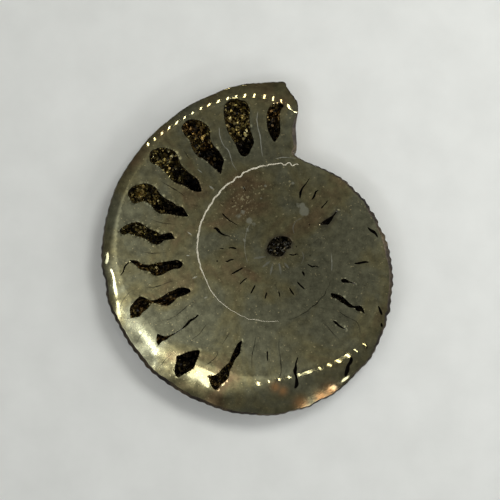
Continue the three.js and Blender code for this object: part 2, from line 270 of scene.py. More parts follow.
# the first points come before the outer turn begins, so their turn is below nought
atStart = (grownTurn > 180) & (np.arange(len(calmEdge)) < 40)
grownTurn = np.where(atStart, grownTurn - 360, grownTurn)
length = np.concatenate([[0], np.cumsum(np.hypot(*np.diff(calmEdge, axis=0).T))])
ribEndGap = alongTurn(face["ribEndSpacing"], 40)(grownTurn)
beats = np.concatenate([[0], np.cumsum(np.diff(length) / ribEndGap[1:])])
wave = np.cos(2 * np.pi * beats + 1.5 * wobble(length, length * 0, 4.0, 3.1))
wave += 0.8 * wobble(*calmEdge.T, 0.6, 5.2) + 0.6 * wobble(*calmEdge.T, 2.6, 8.2)
grown = calmEdge + outward(calmEdge, False) * (ribEndSwing(grownTurn) * wave)[:, None]
broken = smoothCurve(face["brokenEnd"], face["brokenStep"])[1:-1]
broken = broken + outward(broken, False) * (face["brokenRoughness"] * wobble(*broken.T, 0.5, 2.2))[:, None]
outline = np.vstack([grown, broken])[::-1]  # counter-clockwise

edgeTurn, edgeRadius = grownTurn[grownTurn >= 0], grownRadius[grownTurn >= 0]


def whorlRadius(turn):
    # radius of the outer edge at a turn, which below zero is the edge of the inner whorl
    turn = np.asarray(turn, float)
    lap = np.ceil(np.maximum(-turn, 0) / 360)
    outer = np.interp(turn + 360 * lap, edgeTurn, edgeRadius)
    swell = edgeRadius[0] / (edgeRadius[-1] / coil["whorlRatio"]) - 1
    swollen = 1 + swell * smoothstep(turn + 360 * (lap - 1), -coil["swellTurn"], 0)
    return outer / coil["whorlRatio"] ** lap * np.where(lap > 0, swollen, 1)


def seamRadius(turn):
    return coil["seamRadius"] * coil["whorlRatio"] ** ((turn - 250) / 360)


def evened(line, reach):
    # each point goes to the middle of its neighbours, as grinding takes the wobble out of an edge
    padded = np.vstack([2 * line[0] - line[reach:0:-1], line, 2 * line[-1] - line[-2:-reach - 2:-1]])
    window = np.ones(2 * reach + 1) / (2 * reach + 1)
    return np.stack([np.convolve(padded[:, k], window, "valid") for k in (0, 1)], 1)


# the edge that is bevelled runs on past the broken end, as the whole shell once did
ahead = calmEdge[-3] - calmEdge[-16]
ahead = ahead / np.hypot(*ahead)
past = calmEdge[-1] + np.arange(1, 30)[:, None] * face["edgeStep"] * ahead
bevelled = evened(evened(np.vstack([calmEdge, past]), 6), 6)
bevelledTurn = np.concatenate([grownTurn, polar(*past.T)[0]])
bevelledAlong = np.gradient(bevelled, axis=0)
bevelledAlong /= np.hypot(*bevelledAlong.T)[:, None]
bevelledWidth = bevelWidth(bevelledTurn)
bevelledDrop = bevelDrop(bevelledTurn)
bevelledBand = bandWidth(bevelledTurn)
unevenness = alongTurn(coil["bevelUnevenness"], 40)(bevelledTurn)


def bevelDepth(x, y):
    # how far the rounded margin lies under the flat of the face
    drop, uneven = np.zeros(len(x)), np.zeros(len(x))
    for start in range(0, len(x), 2000):
        part = slice(start, start + 2000)
        d = np.hypot(x[part, None] - bevelled[None, :, 0], y[part, None] - bevelled[None, :, 1])
        close, least = d.argmin(1), d.min(1, keepdims=True)
        # a blend of the nearest edge points, so the bevel has no creases
        weight = np.exp(-(d - least) / coil["bevelBlend"])
        weight /= weight.sum(1, keepdims=True)
        # straight across to the edge, and not to its closest point
        offset = np.stack([x[part], y[part]], 1) - bevelled[close]
        slide = np.clip((offset * bevelledAlong[close]).sum(1), -coil["bevelSlide"], coil["bevelSlide"])
        across = np.sqrt(np.maximum(least[:, 0] ** 2 - slide**2, 0))
        inward = across - (weight * bevelledBand).sum(1)
        share = 1 - np.minimum(inward / (weight * bevelledWidth).sum(1), 1)
        drop[part] = (weight * bevelledDrop).sum(1) * share ** coil["bevelPower"]
        uneven[part] = (weight * unevenness).sum(1)
    return drop * (1 + uneven * wobble(x, y, 2.0, 5.5))


def faceSurface(x, y):
    return face["height"] - bevelDepth(np.asarray(x, float), np.asarray(y, float))


def lipDepth(x, y):
    # the polish rolls over a little at the mouth of each chamber
    drop = np.zeros(len(x))
    for opening in openings:
        if opening["kind"] == "slit":
            continue
        rim, reach = opening["rim"], chambers["lipWidth"]
        near = (x > rim[:, 0].min() - reach) & (x < rim[:, 0].max() + reach)
        near = np.flatnonzero(near & (y > rim[:, 1].min() - reach) & (y < rim[:, 1].max() + reach))
        if len(near):
            d = edgeDistance(x[near], y[near], rim)
            drop[near] = np.maximum(drop[near], chambers["lipDrop"] * np.clip(1 - d / reach, 0, 1) ** 2)
    return drop


# the unpolished band between the outline and the polish, evened and then made a little ragged
outlineTurn = polar(*outline.T)[0]
isGrown = np.concatenate([np.zeros(len(broken), bool), np.ones(len(grown), bool)])
chipped = smoothstep(-outline[:, 1], -18, -16.5)  # the lower part of the broken end is unpolished
band = np.where(isGrown, bandWidth(np.where(outlineTurn > 349, 0, outlineTurn)), 0.1 + 0.4 * chipped)
for _ in range(6):
    band = (np.roll(band, 1) + band + np.roll(band, -1)) / 3
band = band * (1 + 0.35 * wobble(*outline.T, 0.7, 6.4))
polishEdge = outline + outward(outline) * band[:, None]
for _ in range(2):
    polishEdge = (np.roll(polishEdge, 1, 0) + 2 * polishEdge + np.roll(polishEdge, -1, 0)) / 4

# open chambers, outlined on the polished face, with their depth
chambers = {
    "lipWidth": 0.12,
    "lipDrop": 0.027,
    "rimRoughness": 0.05,
    "wallWidth": 0.5,
    "floorRoughness": 0.25,
    "rimStep": 0.16,
    # each chamber: rusty for its crystals' rust, brassy to scale how brightly they are painted lit against
    # the painted shade, its depth and its outline
    "rooms": [
        {"rusty": 0.5, "brassy": 0.6, "depth": 1.8, "outline": [
            (3.29, 19.59), (3.84, 19.86), (4.66, 19.86), (5.07, 19.52), (4.73, 19.04), (4.52, 18.36),
            (4.52, 17.53), (4.59, 16.58), (4.52, 15.62), (4.11, 14.93), (3.77, 14.52), (3.42, 14.93),
            (3.08, 15.62), (2.81, 16.44), (2.67, 17.53), (2.74, 18.49), (2.95, 19.11),
        ]},
        {"rusty": 0.1, "brassy": 1.25, "depth": 2.6, "outline": [
            (-3.01, 19.73), (-2.47, 20.27), (-1.92, 20.55), (-1.37, 20.55), (-0.96, 20.34),
            (-0.27, 20.21), (0.14, 19.73), (0.41, 18.9), (0.34, 17.95), (0.41, 16.99), (0.55, 16.03),
            (0.82, 15.21), (0.96, 14.38), (0.55, 13.56), (0.27, 12.88), (-0.27, 12.53), (-0.82, 12.67),
            (-1.23, 13.29), (-1.51, 13.97), (-2.05, 14.93), (-2.6, 15.89), (-2.95, 16.85),
            (-3.15, 17.95), (-3.22, 18.9),
        ]},
        {"rusty": 0.5, "brassy": 1.1, "depth": 2.6, "outline": [
            (-8.77, 16.99), (-8.22, 17.53), (-7.53, 17.67), (-6.85, 17.6), (-6.03, 17.26),
            (-5.34, 16.71), (-5.07, 16.03), (-5.07, 15.21), (-4.79, 14.38), (-4.25, 13.7),
            (-3.84, 13.29), (-3.42, 12.6), (-3.15, 11.92), (-3.36, 11.1), (-3.63, 10.14),
            (-4.25, 10.68), (-4.93, 11.23), (-5.48, 11.78), (-6.03, 12.19), (-6.71, 12.47),
            (-7.26, 13.15), (-7.67, 13.97), (-7.95, 14.79), (-8.49, 15.34), (-8.9, 16.03),
            (-9.04, 16.58),
        ]},
        {"rusty": 0, "brassy": 1.2, "depth": 2.5, "outline": [
            (-13.29, 13.15), (-12.6, 13.56), (-11.92, 13.77), (-11.1, 13.7), (-10.41, 13.49),
            (-9.86, 13.15), (-9.45, 12.47), (-9.25, 11.78), (-8.77, 11.1), (-8.08, 10.41),
            (-7.26, 9.79), (-6.71, 9.32), (-6.44, 8.63), (-6.23, 7.74), (-6.99, 7.67), (-7.81, 7.95),
            (-8.63, 8.49), (-9.59, 8.77), (-10.27, 9.18), (-11.1, 10.14), (-11.78, 10.82),
            (-12.33, 11.3), (-13.15, 11.64), (-13.42, 12.33),
        ]},
        {"rusty": 0.15, "brassy": 1.0, "depth": 2.4, "outline": [
            (-16.16, 7.95), (-15.62, 8.42), (-14.79, 8.7), (-13.97, 8.84), (-13.15, 8.63),
            (-12.47, 8.22), (-11.92, 7.4), (-11.1, 6.71), (-10.27, 6.3), (-9.59, 5.75), (-8.9, 5.62),
            (-8.49, 5.07), (-8.08, 4.32), (-8.77, 4.25), (-9.73, 4.38), (-10.82, 4.59), (-11.92, 4.66),
            (-12.6, 5.07), (-13.15, 5.75), (-13.84, 6.23), (-14.52, 6.3), (-15.21, 6.03),
            (-15.75, 6.16), (-16.16, 6.85), (-16.37, 7.4),
        ]},
        {"rusty": 0, "brassy": 0.85, "depth": 2.1, "outline": [
            (-17.4, 2.47), (-16.85, 2.95), (-16.16, 3.29), (-15.34, 3.49), (-14.66, 3.42),
            (-13.97, 2.95), (-13.15, 2.47), (-12.33, 2.19), (-11.92, 1.85), (-11.23, 1.92),
            (-10.41, 2.05), (-10.14, 1.64), (-9.86, 1.23), (-10.55, 1.1), (-11.37, 0.96),
            (-11.92, 0.48), (-12.6, 0.41), (-13.29, 0.68), (-13.84, 1.1), (-14.52, 1.37),
            (-15.48, 1.64), (-16.3, 1.92), (-16.85, 1.71), (-17.4, 2.05),
        ]},
        {"rusty": 0.5, "brassy": 0.65, "depth": 1.9, "outline": [
            (-16.03, -1.78), (-15.07, -1.78), (-14.52, -2.19), (-13.7, -2.33), (-13.01, -2.26),
            (-12.19, -2.05), (-11.23, -1.92), (-10.27, -1.78), (-9.45, -1.71), (-8.77, -2.19),
            (-9.18, -2.88), (-10, -2.95), (-10.82, -3.29), (-11.64, -3.77), (-12.47, -3.9),
            (-13.01, -3.7), (-13.42, -3.29), (-14.25, -3.15), (-14.79, -2.88), (-15.21, -2.47),
            (-15.62, -2.19),
        ]},
        {"rusty": 0.6, "brassy": 0.75, "depth": 2.0, "outline": [
            (-16.03, -8.22), (-15.62, -7.67), (-15.07, -6.99), (-14.52, -6.71), (-13.84, -6.92),
            (-13.29, -7.19), (-12.47, -7.12), (-11.64, -6.71), (-10.82, -6.16), (-10, -5.82),
            (-9.32, -5.48), (-8.63, -5.48), (-7.81, -5.68), (-7.81, -6.16), (-8.63, -6.58),
            (-9.45, -6.85), (-10, -7.4), (-10.68, -7.95), (-11.51, -7.95), (-12.19, -7.74),
            (-13.01, -7.67), (-13.56, -8.36), (-14.25, -8.9), (-14.66, -9.45), (-15.34, -9.59),
            (-15.89, -9.66), (-16.03, -8.9),
        ]},
        {"rusty": 0.5, "brassy": 0.4, "depth": 1.2, "outline": [
            (-12.4, -12.74), (-12.26, -11.85), (-11.78, -11.99), (-11.23, -12.12), (-10.55, -11.99),
            (-9.73, -11.58), (-8.9, -11.03), (-8.22, -10.27), (-7.95, -9.93), (-7.26, -9.59),
            (-6.71, -9.18), (-6.58, -9.25), (-7.12, -9.79), (-7.67, -10.14), (-8.22, -10.75),
            (-9.04, -11.3), (-9.86, -11.85), (-10.55, -12.26), (-11.1, -12.67), (-11.64, -12.88),
            (-12.12, -13.36),
        ]},
        {"rusty": 0, "brassy": 0.15, "depth": 2.0, "outline": [
            (-9.66, -14.86), (-9.04, -14.66), (-8.22, -14.32), (-7.4, -14.11), (-6.51, -14.04),
            (-6.58, -14.79), (-6.92, -15.62), (-7.26, -16.44), (-7.95, -16.99), (-8.63, -17.33),
            (-9.32, -17.74), (-9.66, -17.67), (-9.93, -16.99), (-9.86, -16.16), (-9.66, -15.48),
        ]},
        {"rusty": 0.3, "brassy": 0.5, "depth": 2.0, "outline": [
            (-0.68, -12.74), (-0.82, -13.7), (-0.96, -14.52), (-1.58, -15.27), (-1.99, -16.16),
            (-2.33, -16.85), (-2.47, -17.67), (-3.01, -18.36), (-3.7, -18.9), (-3.97, -19.45),
            (-4.52, -19.38), (-5, -18.63), (-5.21, -17.67), (-4.52, -17.47), (-3.84, -17.05),
            (-3.15, -16.3), (-2.47, -15.68), (-2.05, -14.66), (-1.64, -13.84), (-1.3, -13.15),
        ]},
        {"rusty": 0.2, "brassy": 0.08, "depth": 1.6, "outline": [
            (11.51, -6.23), (12.19, -6.37), (12.88, -6.58), (13.42, -6.99), (14.11, -7.67),
            (14.66, -8.01), (15.48, -7.95), (15.89, -8.36), (16.1, -9.11), (15.62, -8.77),
            (15.07, -8.7), (14.66, -8.29), (13.97, -8.22), (13.42, -7.81), (12.88, -7.53),
            (12.19, -7.05), (11.71, -6.92), (11.51, -6.58),
        ]},
        {"rusty": 0, "brassy": 0, "depth": 1.2, "outline": [
            (12.88, -4.45), (13.15, -4.25), (13.7, -4.38), (14.11, -4.66), (14.66, -4.86), (14.93, -5),
            (14.11, -4.86), (13.56, -4.86), (13.01, -4.73),
        ]},
        {"rusty": 0, "brassy": 0, "depth": 1.2, "outline": [
            (11.78, -10), (12.12, -10.07), (12.47, -10.41), (13.01, -10.82), (13.56, -11.23),
            (12.88, -11.03), (12.33, -10.68), (11.92, -10.34),
        ]},
        {"rusty": 0, "brassy": 0, "depth": 1.4, "outline": [
            (10, 3.15), (10.55, 3.7), (11.1, 4.04), (11.64, 4.38), (12.05, 4.79), (12.47, 5.14),
            (11.92, 4.25), (11.58, 3.7), (11.16, 3.15), (10.55, 3.15),
        ]},
    ],
    "pitDepth": 0.9,
    "pitWall": 0.6,
    "pit": [
        (2.67, -0.27), (2.88, 0.41), (3.29, 1.03), (3.97, 1.44), (4.66, 1.58), (5.34, 1.51),
        (5.89, 1.23), (6.16, 0.75), (5.96, 0.27), (6.03, -0.07), (5.48, -0.27), (5.21, -0.68),
        (4.79, -1.16), (4.11, -1.23), (3.42, -1.1), (2.88, -0.75),
    ],
    # narrow slits of the small chambers: centre line and half width at each point
    "slitDepth": 0.8,
    "slitWall": 0.12,
    "slits": [
        ([(2.78, -14.11), (2.78, -14.93), (2.85, -15.62)], [0.10, 0.10, 0.07]),
        ([
            (6.96, -14.93), (6.71, -15.75), (6.62, -16.58), (6.55, -16.99), (6.71, -17.67),
            (6.78, -18.22), (6.78, -18.77), (6.51, -19.32),
        ], [0.07, 0.11, 0.14, 0.27, 0.16, 0.21, 0.27, 0.16]),
        ([
            (14.32, -14.93), (14.18, -15.62), (13.84, -16.16), (13.7, -16.85), (13.49, -17.53),
            (13.63, -17.81),
        ], [0.11, 0.27, 0.21, 0.30, 0.27, 0.11]),
        ([(16.37, -13.29), (16.44, -13.97)], [0.08, 0.08]),
        ([(14.66, -2.19), (15.48, -2.12), (16.16, -1.99), (16.71, -2.05)], [0.08, 0.14, 0.14, 0.07]),
        ([(17.95, -7.95), (18.22, -8.63), (18.49, -9.32)], [0.11, 0.16, 0.14]),
        ([(18.36, -10.27), (18.49, -10.96)], [0.12, 0.14]),
        ([(16.5, 2.8), (17.0, 2.35), (17.55, 2.0), (17.95, 1.35)], [0.10, 0.21, 0.19, 0.11]),
        ([(10.14, 5.34), (11.16, 6.51)], [0.11, 0.08]),
        ([(8.84, 6.51), (9.25, 7.12), (9.45, 7.67), (9.86, 7.88)], [0.10, 0.14, 0.12, 0.07]),
        ([
            (7.26, 6.71), (7.33, 7.53), (7.6, 8.15), (8.08, 8.77), (8.63, 9.59),
        ], [0.11, 0.16, 0.12, 0.08, 0.05]),
        ([(6.85, -4.66), (7.26, -5.14), (7.95, -5.75)], [0.08, 0.12, 0.08]),
        ([(5.75, -5.48), (6.1, -6.03), (6.51, -6.58)], [0.08, 0.11, 0.07]),
        ([(4.32, -5.89), (4.42, -6.37), (4.52, -6.85)], [0.08, 0.11, 0.07]),
        ([(2.74, -6.1), (2.58, -6.58), (2.44, -7.12)], [0.08, 0.12, 0.08]),
        ([(1.16, -5.07), (0.82, -5.75), (0.48, -6.37)], [0.08, 0.12, 0.08]),
        ([(0.07, -4.11), (-0.48, -4.52), (-1.03, -5.07)], [0.07, 0.10, 0.07]),
        ([(-0.48, -2.74), (-1.23, -3.15), (-2.19, -3.7)], [0.08, 0.12, 0.08]),
        ([(-1.78, -1.62), (-2.33, -1.71), (-2.67, -1.92), (-3.01, -1.85)], [0.08, 0.11, 0.12, 0.07]),
        ([(-1.37, -0.21), (-1.92, -0.04), (-2.6, -0.07)], [0.08, 0.12, 0.08]),
        ([(-3.08, -0.21), (-3.84, -0.07)], [0.07, 0.05]),
        ([(-4.25, -1.85), (-3.93, -1.85)], [0.15, 0.14]),
        ([
            (-4.66, 2.67), (-4.18, 2.6), (-3.84, 2.19), (-3.29, 1.78), (-2.19, 1.51),
        ], [0.11, 0.21, 0.14, 0.07, 0.04]),
        ([
            (-3.42, 4.73), (-3.01, 4.25), (-2.47, 3.77), (-1.78, 3.36), (-1.23, 3.01),
        ], [0.10, 0.10, 0.08, 0.05, 0.04]),
        ([(-2.12, 6.58), (-1.92, 6.16)], [0.07, 0.05]),
        ([(-0.55, 8.49), (-0.14, 7.67)], [0.07, 0.05]),
        ([(7.53, -3.22), (7.74, -3.56), (7.88, -3.97)], [0.10, 0.14, 0.08]),
        ([
            (8.22, -2.26), (8.63, -2.47), (8.97, -2.64), (9.45, -2.53), (9.86, -2.81),
        ], [0.08, 0.10, 0.10, 0.08, 0.05]),
        ([(8.48, 3.15), (8.66, 3.11)], [0.14, 0.14]),
        ([(8.55, -1.1), (8.74, -1.12)], [0.12, 0.12]),
        ([(6.71, 0.14), (6.88, 0.1)], [0.10, 0.10]),
        ([(5.62, -0.89), (6.3, -1.03), (6.85, -0.89), (7.12, -1.03)], [0.07, 0.11, 0.08, 0.05]),
        ([(-16.03, -1.92), (-16.71, -2.6), (-16.92, -3.29), (-17.4, -3.9)], [0.07, 0.11, 0.08, 0.05]),
    ],
}

openings = []
for n, room in enumerate(chambers["rooms"]):
    rim = smoothCurve(room["outline"], chambers["rimStep"], True)
    rim = rim + outward(rim) * (chambers["rimRoughness"] * wobble(*rim.T, 0.22, n * 1.7))[:, None]
    openings.append({"rim": rim, "depth": room["depth"], "wall": chambers["wallWidth"], "kind": "chamber",
                     "brassy": room["brassy"], "rusty": room["rusty"]})
pitRim = smoothCurve(chambers["pit"], chambers["rimStep"], True)
openings.append({"rim": pitRim, "depth": chambers["pitDepth"], "wall": chambers["pitWall"], "kind": "pit",
                 "brassy": 0.5, "rusty": -1.0})
pit, besidePit = openings[-1], openings[-2]
for n, (points, widths) in enumerate(chambers["slits"]):
    rim, line = ribbon(points, widths, 0.22, 0.02, n * 0.9)
    openings.append({"rim": rim, "line": line, "depth": chambers["slitDepth"], "wall": chambers["slitWall"],
                     "kind": "slit"})
for opening in openings:
    rim = opening["rim"]
    area = 0.5 * float(np.sum(rim[:, 0] * np.roll(rim[:, 1], -1) - np.roll(rim[:, 0], -1) * rim[:, 1]))
    opening["rim"] = rim if area > 0 else rim[::-1]  # counter-clockwise
    opening["area"] = abs(area)

# lines in the polished face: points and half width
veins = {
    "streakRadius": 4.2,  # lines closer to the pit than this are broad and faint
    "streakWiden": 3,
    "shellWander": 0.1,
    "lineWander": 0.03,
    "shell": [
        ([
            (7.12, 11.44), (6.71, 11.44), (6.23, 11.23), (5.96, 11.64), (5.62, 11.64), (5.14, 11.37),
            (4.73, 11.64), (4.38, 11.58), (3.77, 11.44), (3.15, 11.44), (2.47, 11.23), (1.78, 11.16),
            (1.23, 10.96), (0.68, 10.86), (0.27, 10.55), (-0.41, 10.27), (-0.96, 9.73), (-1.51, 9.59),
            (-2.05, 9.04), (-2.6, 8.77), (-3.01, 8.36), (-3.56, 7.95), (-3.97, 7.26), (-4.45, 6.85),
            (-4.66, 6.3), (-5.07, 5.82), (-5.34, 5.21), (-5.68, 4.86), (-5.96, 4.11), (-6.23, 3.56),
            (-6.44, 2.88), (-6.6, 2.19), (-6.71, 1.37), (-6.78, 0.55), (-6.78, -0.27), (-6.71, -1.1),
            (-6.58, -1.78), (-6.37, -2.33), (-6.3, -2.88), (-6.03, -3.56), (-5.68, -4.32), (-5.41, -5),
            (-5, -5.75), (-4.59, -6.37), (-3.84, -7.33), (-3.42, -7.6), (-2.88, -8.08), (-2.33, -8.42),
            (-1.78, -8.84), (-1.1, -9.18), (-0.41, -9.45), (0.27, -9.79), (1.1, -9.86), (1.92, -10.07),
            (2.88, -10.14), (3.7, -10.07), (4.38, -10.07),
        ], [0.05, 0.08, 0.09, 0.1, 0.1, 0.11, 0.11, 0.1, 0.07, 0.04, 0.03, 0.03, 0.02]),
    ],
    "paleWalls": [
        ([(3.84, 12.19), (4.93, 12.4), (6.85, 12.26)], 0.05),
        ([(11.58, -3.29), (11.64, -2.19), (11.51, -0.68)], 0.05),
        ([
            (1.51, 18.77), (1.37, 17.67), (1.51, 16.44), (1.78, 15.48), (1.92, 14.11), (2.12, 12.47),
        ], 0.07),
        ([
            (-3.84, 16.58), (-3.7, 15.21), (-3.15, 13.97), (-2.6, 13.42), (-2.19, 12.26),
            (-1.92, 11.37), (-1.37, 10.55),
        ], 0.07),
        ([(-6.85, 10.82), (-6.16, 10.27)], 0.07),
        ([(-5.21, 8.49), (-4.52, 7.95)], 0.12),
        ([(-8.22, 2.19), (-7.53, 1.71)], 0.08),
        ([(-8.36, -1.1), (-7.81, -1.1)], 0.08),
        ([(-7.53, -4.25), (-6.71, -3.9)], 0.08),
        ([(-5.89, -6.99), (-5.34, -6.71)], 0.08),
        ([(2.05, -2.74), (3.29, -1.78)], 0.05),
        ([(3.56, -2.05), (3.15, -3.84)], 0.05),
        ([(4.38, -2.05), (4.66, -3.7)], 0.05),
        ([(5.07, -2.05), (5.75, -2.88)], 0.05),
        ([(0.82, -1.51), (2.6, -1.23)], 0.05),
        ([(0.55, 3.5), (-0.05, 2.2), (-0.3, 0.6), (-0.2, -1.0), (0.1, -2.2)], 0.025),
        ([(7.6, 4.1), (6.7, 3.6), (6.3, 2.7), (6.5, 1.8)], 0.025),
        ([(7.5, -0.5), (7.8, -1.3), (7.4, -2.3)], 0.025),
    ],
    "darkSeams": [
        ([(-8.77, 13.42), (-7.81, 12.05)], 0.07),
        ([(-11.92, 9.18), (-10.55, 8.36), (-9.18, 7.53), (-8.36, 6.85)], 0.07),
        ([(-13.29, 3.97), (-11.92, 3.42), (-9.86, 3.15)], 0.07),
        ([(-14.52, -0.55), (-13.29, -0.75), (-12.19, -0.75), (-10.96, -0.68)], 0.07),
        ([(-14.11, -5.41), (-13.01, -5.48), (-11.92, -5.21), (-10.82, -4.79), (-9.86, -4.52)], 0.07),
        ([
            (-14.79, -5.48), (-16.03, -6.16), (-16.99, -7.26), (-17.33, -8.22), (-17.12, -9.32),
            (-17.33, -10.14),
        ], 0.05),
        ([(-11.92, -10), (-10.55, -9.79), (-9.18, -8.9), (-8.08, -7.95), (-6.85, -7.12)], 0.07),
        ([(-5.07, -10.14), (-5.89, -10.96), (-6.58, -11.92), (-7.81, -12.74)], 0.07),
        ([(-13.97, -11.23), (-14.66, -12.19), (-15.21, -13.29)], 0.05),
        ([(-10.27, -14.52), (-11.1, -15.21), (-11.78, -16.16), (-12.19, -16.71)], 0.05),
        ([(-3.97, -13.97), (-4.11, -14.79), (-5.07, -15.75), (-5.89, -16.16)], 0.07),
        ([(1.23, -12.05), (0.96, -13.56), (0.68, -14.79), (0.68, -16.71)], 0.07),
        ([
            (4.38, -12.19), (4.38, -13.97), (4.59, -15.34), (4.66, -16.71), (4.52, -17.53),
            (3.84, -18.49), (3.56, -19.45),
        ], 0.07),
        ([(-3.42, -13.29), (-2.33, -11.64)], 0.05),
        ([(10.27, -10.14), (11.1, -10.96), (11.78, -11.78), (12.74, -12.74)], 0.05),
        ([
            (12.47, -8.63), (13.15, -9.18), (14.11, -9.73), (14.93, -10.14), (15.34, -10.82),
            (15.48, -11.92),
        ], 0.07),
        ([
            (5.21, -9.86), (6.3, -9.73), (7.67, -9.04), (8.36, -8.63), (8.9, -8.08), (9.45, -7.81),
            (9.86, -7.26), (10.21, -6.85), (10.62, -6.51), (10.89, -5.75), (11.23, -5.27),
            (11.44, -4.38),
        ], 0.07),
        ([(15.75, -5.07), (16.3, -5.27)], 0.07),
        ([(9.32, 0.55), (9.59, 1.1), (10.14, 1.03), (10.07, 0)], 0.05),
        ([(8.22, 0.34), (8.77, 0.41)], 0.05),
    ],
}

strips = []  # the material slot and the outline of each line
for n, (points, widths) in enumerate(veins["shell"]):
    strips.append(("calcite", ribbon(points, widths, 0.16, veins["shellWander"], n + 0.3)[0]))
for n, (points, width) in enumerate(veins["paleWalls"]):
    soft = polar(*np.mean(points, 0))[1] < veins["streakRadius"]
    half = width * (veins["streakWiden"] if soft else 1)
    shape, _ = ribbon(points, [half * 0.5, half, half * 0.5], 0.3, veins["lineWander"], n + 9.3)
    strips.append(("paleStreak" if soft else "paleWall", shape))
for n, (points, width) in enumerate(veins["darkSeams"]):
    shape, _ = ribbon(points, [width * 0.3, width, width * 0.3], 0.3, veins["lineWander"], n + 31.3)
    strips.append(("darkSeam", shape))

# plan of the polished face, as loops that the mesh keeps

rng = np.random.default_rng(5)
low, high = outline.min(0), outline.max(0)
grids = []
# spacing of the points and the depths of the bevel between which it holds, closest where the bevel begins
for spacing, least, most in (
    (face["gridStep"], -1, 0.001), (face["creaseStep"], 0.001, 0.14), (face["bevelStep"], 0.14, 9),
):
    grid = hexGrid(low, high, spacing, 0.1 if least < 0 else 0, rng)
    depth = bevelDepth(*grid.T)
    grids.append(grid[(depth > least) & (depth <= most)])
grid = np.vstack(grids)
grid = grid[inside(*grid.T, polishEdge)]
loops = [polishEdge] + [o["rim"] for o in openings] + [shape for _, shape in strips]
gap, _ = nearest(*grid.T, np.vstack(loops))
grid = grid[gap > 0.1]
inner, innerLines = [], []
for opening in openings:
    rim = opening["rim"]
    grid = grid[~inside(*grid.T, rim)]
    if opening["kind"] == "slit":
        line = opening["line"]
        innerLines.append(line[1:-1] if len(line) > 3 else line.mean(0)[None])
        continue
    near = hexGrid(rim.min(0), rim.max(0), 0.13, 0.2, rng)
    near = near[inside(*near.T, rim)]
    near = near[edgeDistance(*near.T, rim) > 0.05]
    inner.append(near)
topXY, topFaces, topOwners, topFound = planar(loops, innerLines, np.vstack([grid] + inner))
print("polished face planned", len(topXY), "points", len(topFaces), "triangles")


def openingDepth(x, y):
    # how far the chambers, the pit and the slits go down at each point
    depth = np.zeros(len(x))
    for n, opening in enumerate(openings):
        rim = opening["rim"]
        near = (x > rim[:, 0].min()) & (x < rim[:, 0].max()) & (y > rim[:, 1].min()) & (y < rim[:, 1].max())
        here = np.flatnonzero(near)
        here = here[inside(x[here], y[here], rim)]
        if not len(here):
            continue
        d = edgeDistance(x[here], y[here], rim)
        into = np.clip(d / opening["wall"], 0, 1)
        down = opening["depth"] * (1 - (1 - into) ** 2.2)
        if opening["kind"] != "slit":
            bumps = wobble(x[here], y[here], 0.35, n + 0.5) + 0.6 * wobble(x[here], y[here], 0.9, n + 7.5)
            down *= 1 + chambers["floorRoughness"] * bumps * smoothstep(d, 0.02, 0.2)
        depth[here] = np.maximum(depth[here], np.where(d > 1e-4, down, 0))
    return depth


def polishHeight(x, y):
    return faceSurface(x, y) - lipDepth(x, y)


topZ = polishHeight(*topXY.T) - openingDepth(*topXY.T)

slotNames = ("polished", "natural", "lining", "calcite", "paleWall", "darkSeam", "broken", "paleStreak")
slotOf = {name: k for k, name in enumerate(slotNames)}
firstStrip = 1 + len(openings)
topSlots = []
for owners in topOwners:
    kinds = ["lining" for o in owners if 1 <= o < firstStrip]
    kinds += [strips[o - firstStrip][0] for o in owners if o >= firstStrip]
    topSlots.append(slotOf[kinds[0]] if kinds else slotOf["polished"])

# natural flank

flank = {
    # depth under the polished face where the whorl is thickest, every 40 degrees of turn
    "depth": [4.5, 4.95, 5.5, 5.4, 5.3, 5.55, 5.4, 5.4, 5.6, 5.3],
    "innerDepth": [2.9, 3.1, 3.3, 3.5, 3.7, 3.85, 4.0, 4.15, 4.3, 4.5],
    "coreDepth": [1.7, 1.8, 1.9, 2.0, 2.1, 2.2, 2.35, 2.5, 2.7, 2.9],
    "seamDepthShare": 0.58,
    "shoulderAt": 0.22,
    "slope": (0.0022, -0.0029),  # of the resting plane against the polished face
    "primaryRibs": 24,
    "ribHeight": 0.17,
    "forkFrom": 0.42,
    "forkTo": 0.6,
    "turnStep": 1.25,            # degrees
    "umbilicalWall": 0.45,
    "roughness": 0.035,
    "umbilicalRibFade": 0.8,     # height of a whorl's ribs over that of the whorl outside it
    "edgeCurve": (2.4, 0.55),    # how the flank curves round from where it is thickest to the edge
    "apertureTurn": 352,         # degrees, where the outer whorl ends
    "notchRadius": 13.2,         # past its end the outer whorl is there only outside this radius
    "shallowest": 1.2,           # depth where no whorl reaches
}
depthAt = [alongTurn(flank[k], 40) for k in ("depth", "innerDepth", "coreDepth")]


def flankShare(t):
    # depth as a share of the deepest, from the umbilical seam (0) to the edge (1)
    s, seamShare = flank["shoulderAt"], flank["seamDepthShare"]
    swell, taper = flank["edgeCurve"]
    rise = seamShare + (1 - seamShare) * np.sin(np.clip(t / s, 0, 1) * math.pi / 2)
    fall = np.maximum(1 - np.clip((t - s) / (1 - s), 0, 1) ** swell, 0) ** taper
    return np.where(t < s, rise, fall)


def ribWave(turn, t):
    # sharp crests and rounder troughs; each rib leans forward and forks on its way out
    sweep = 0.3 * t - 0.9 * t * t
    phase = 2 * np.pi * (flank["primaryRibs"] * turn / 360 + sweep)
    fork = smoothstep(t, flank["forkFrom"], flank["forkTo"])
    one, two = (0.5 + 0.5 * np.cos(phase)) ** 1.5, (0.5 + 0.5 * np.cos(2 * phase)) ** 1.3
    return 2 * (one * (1 - fork) + two * fork) - 1


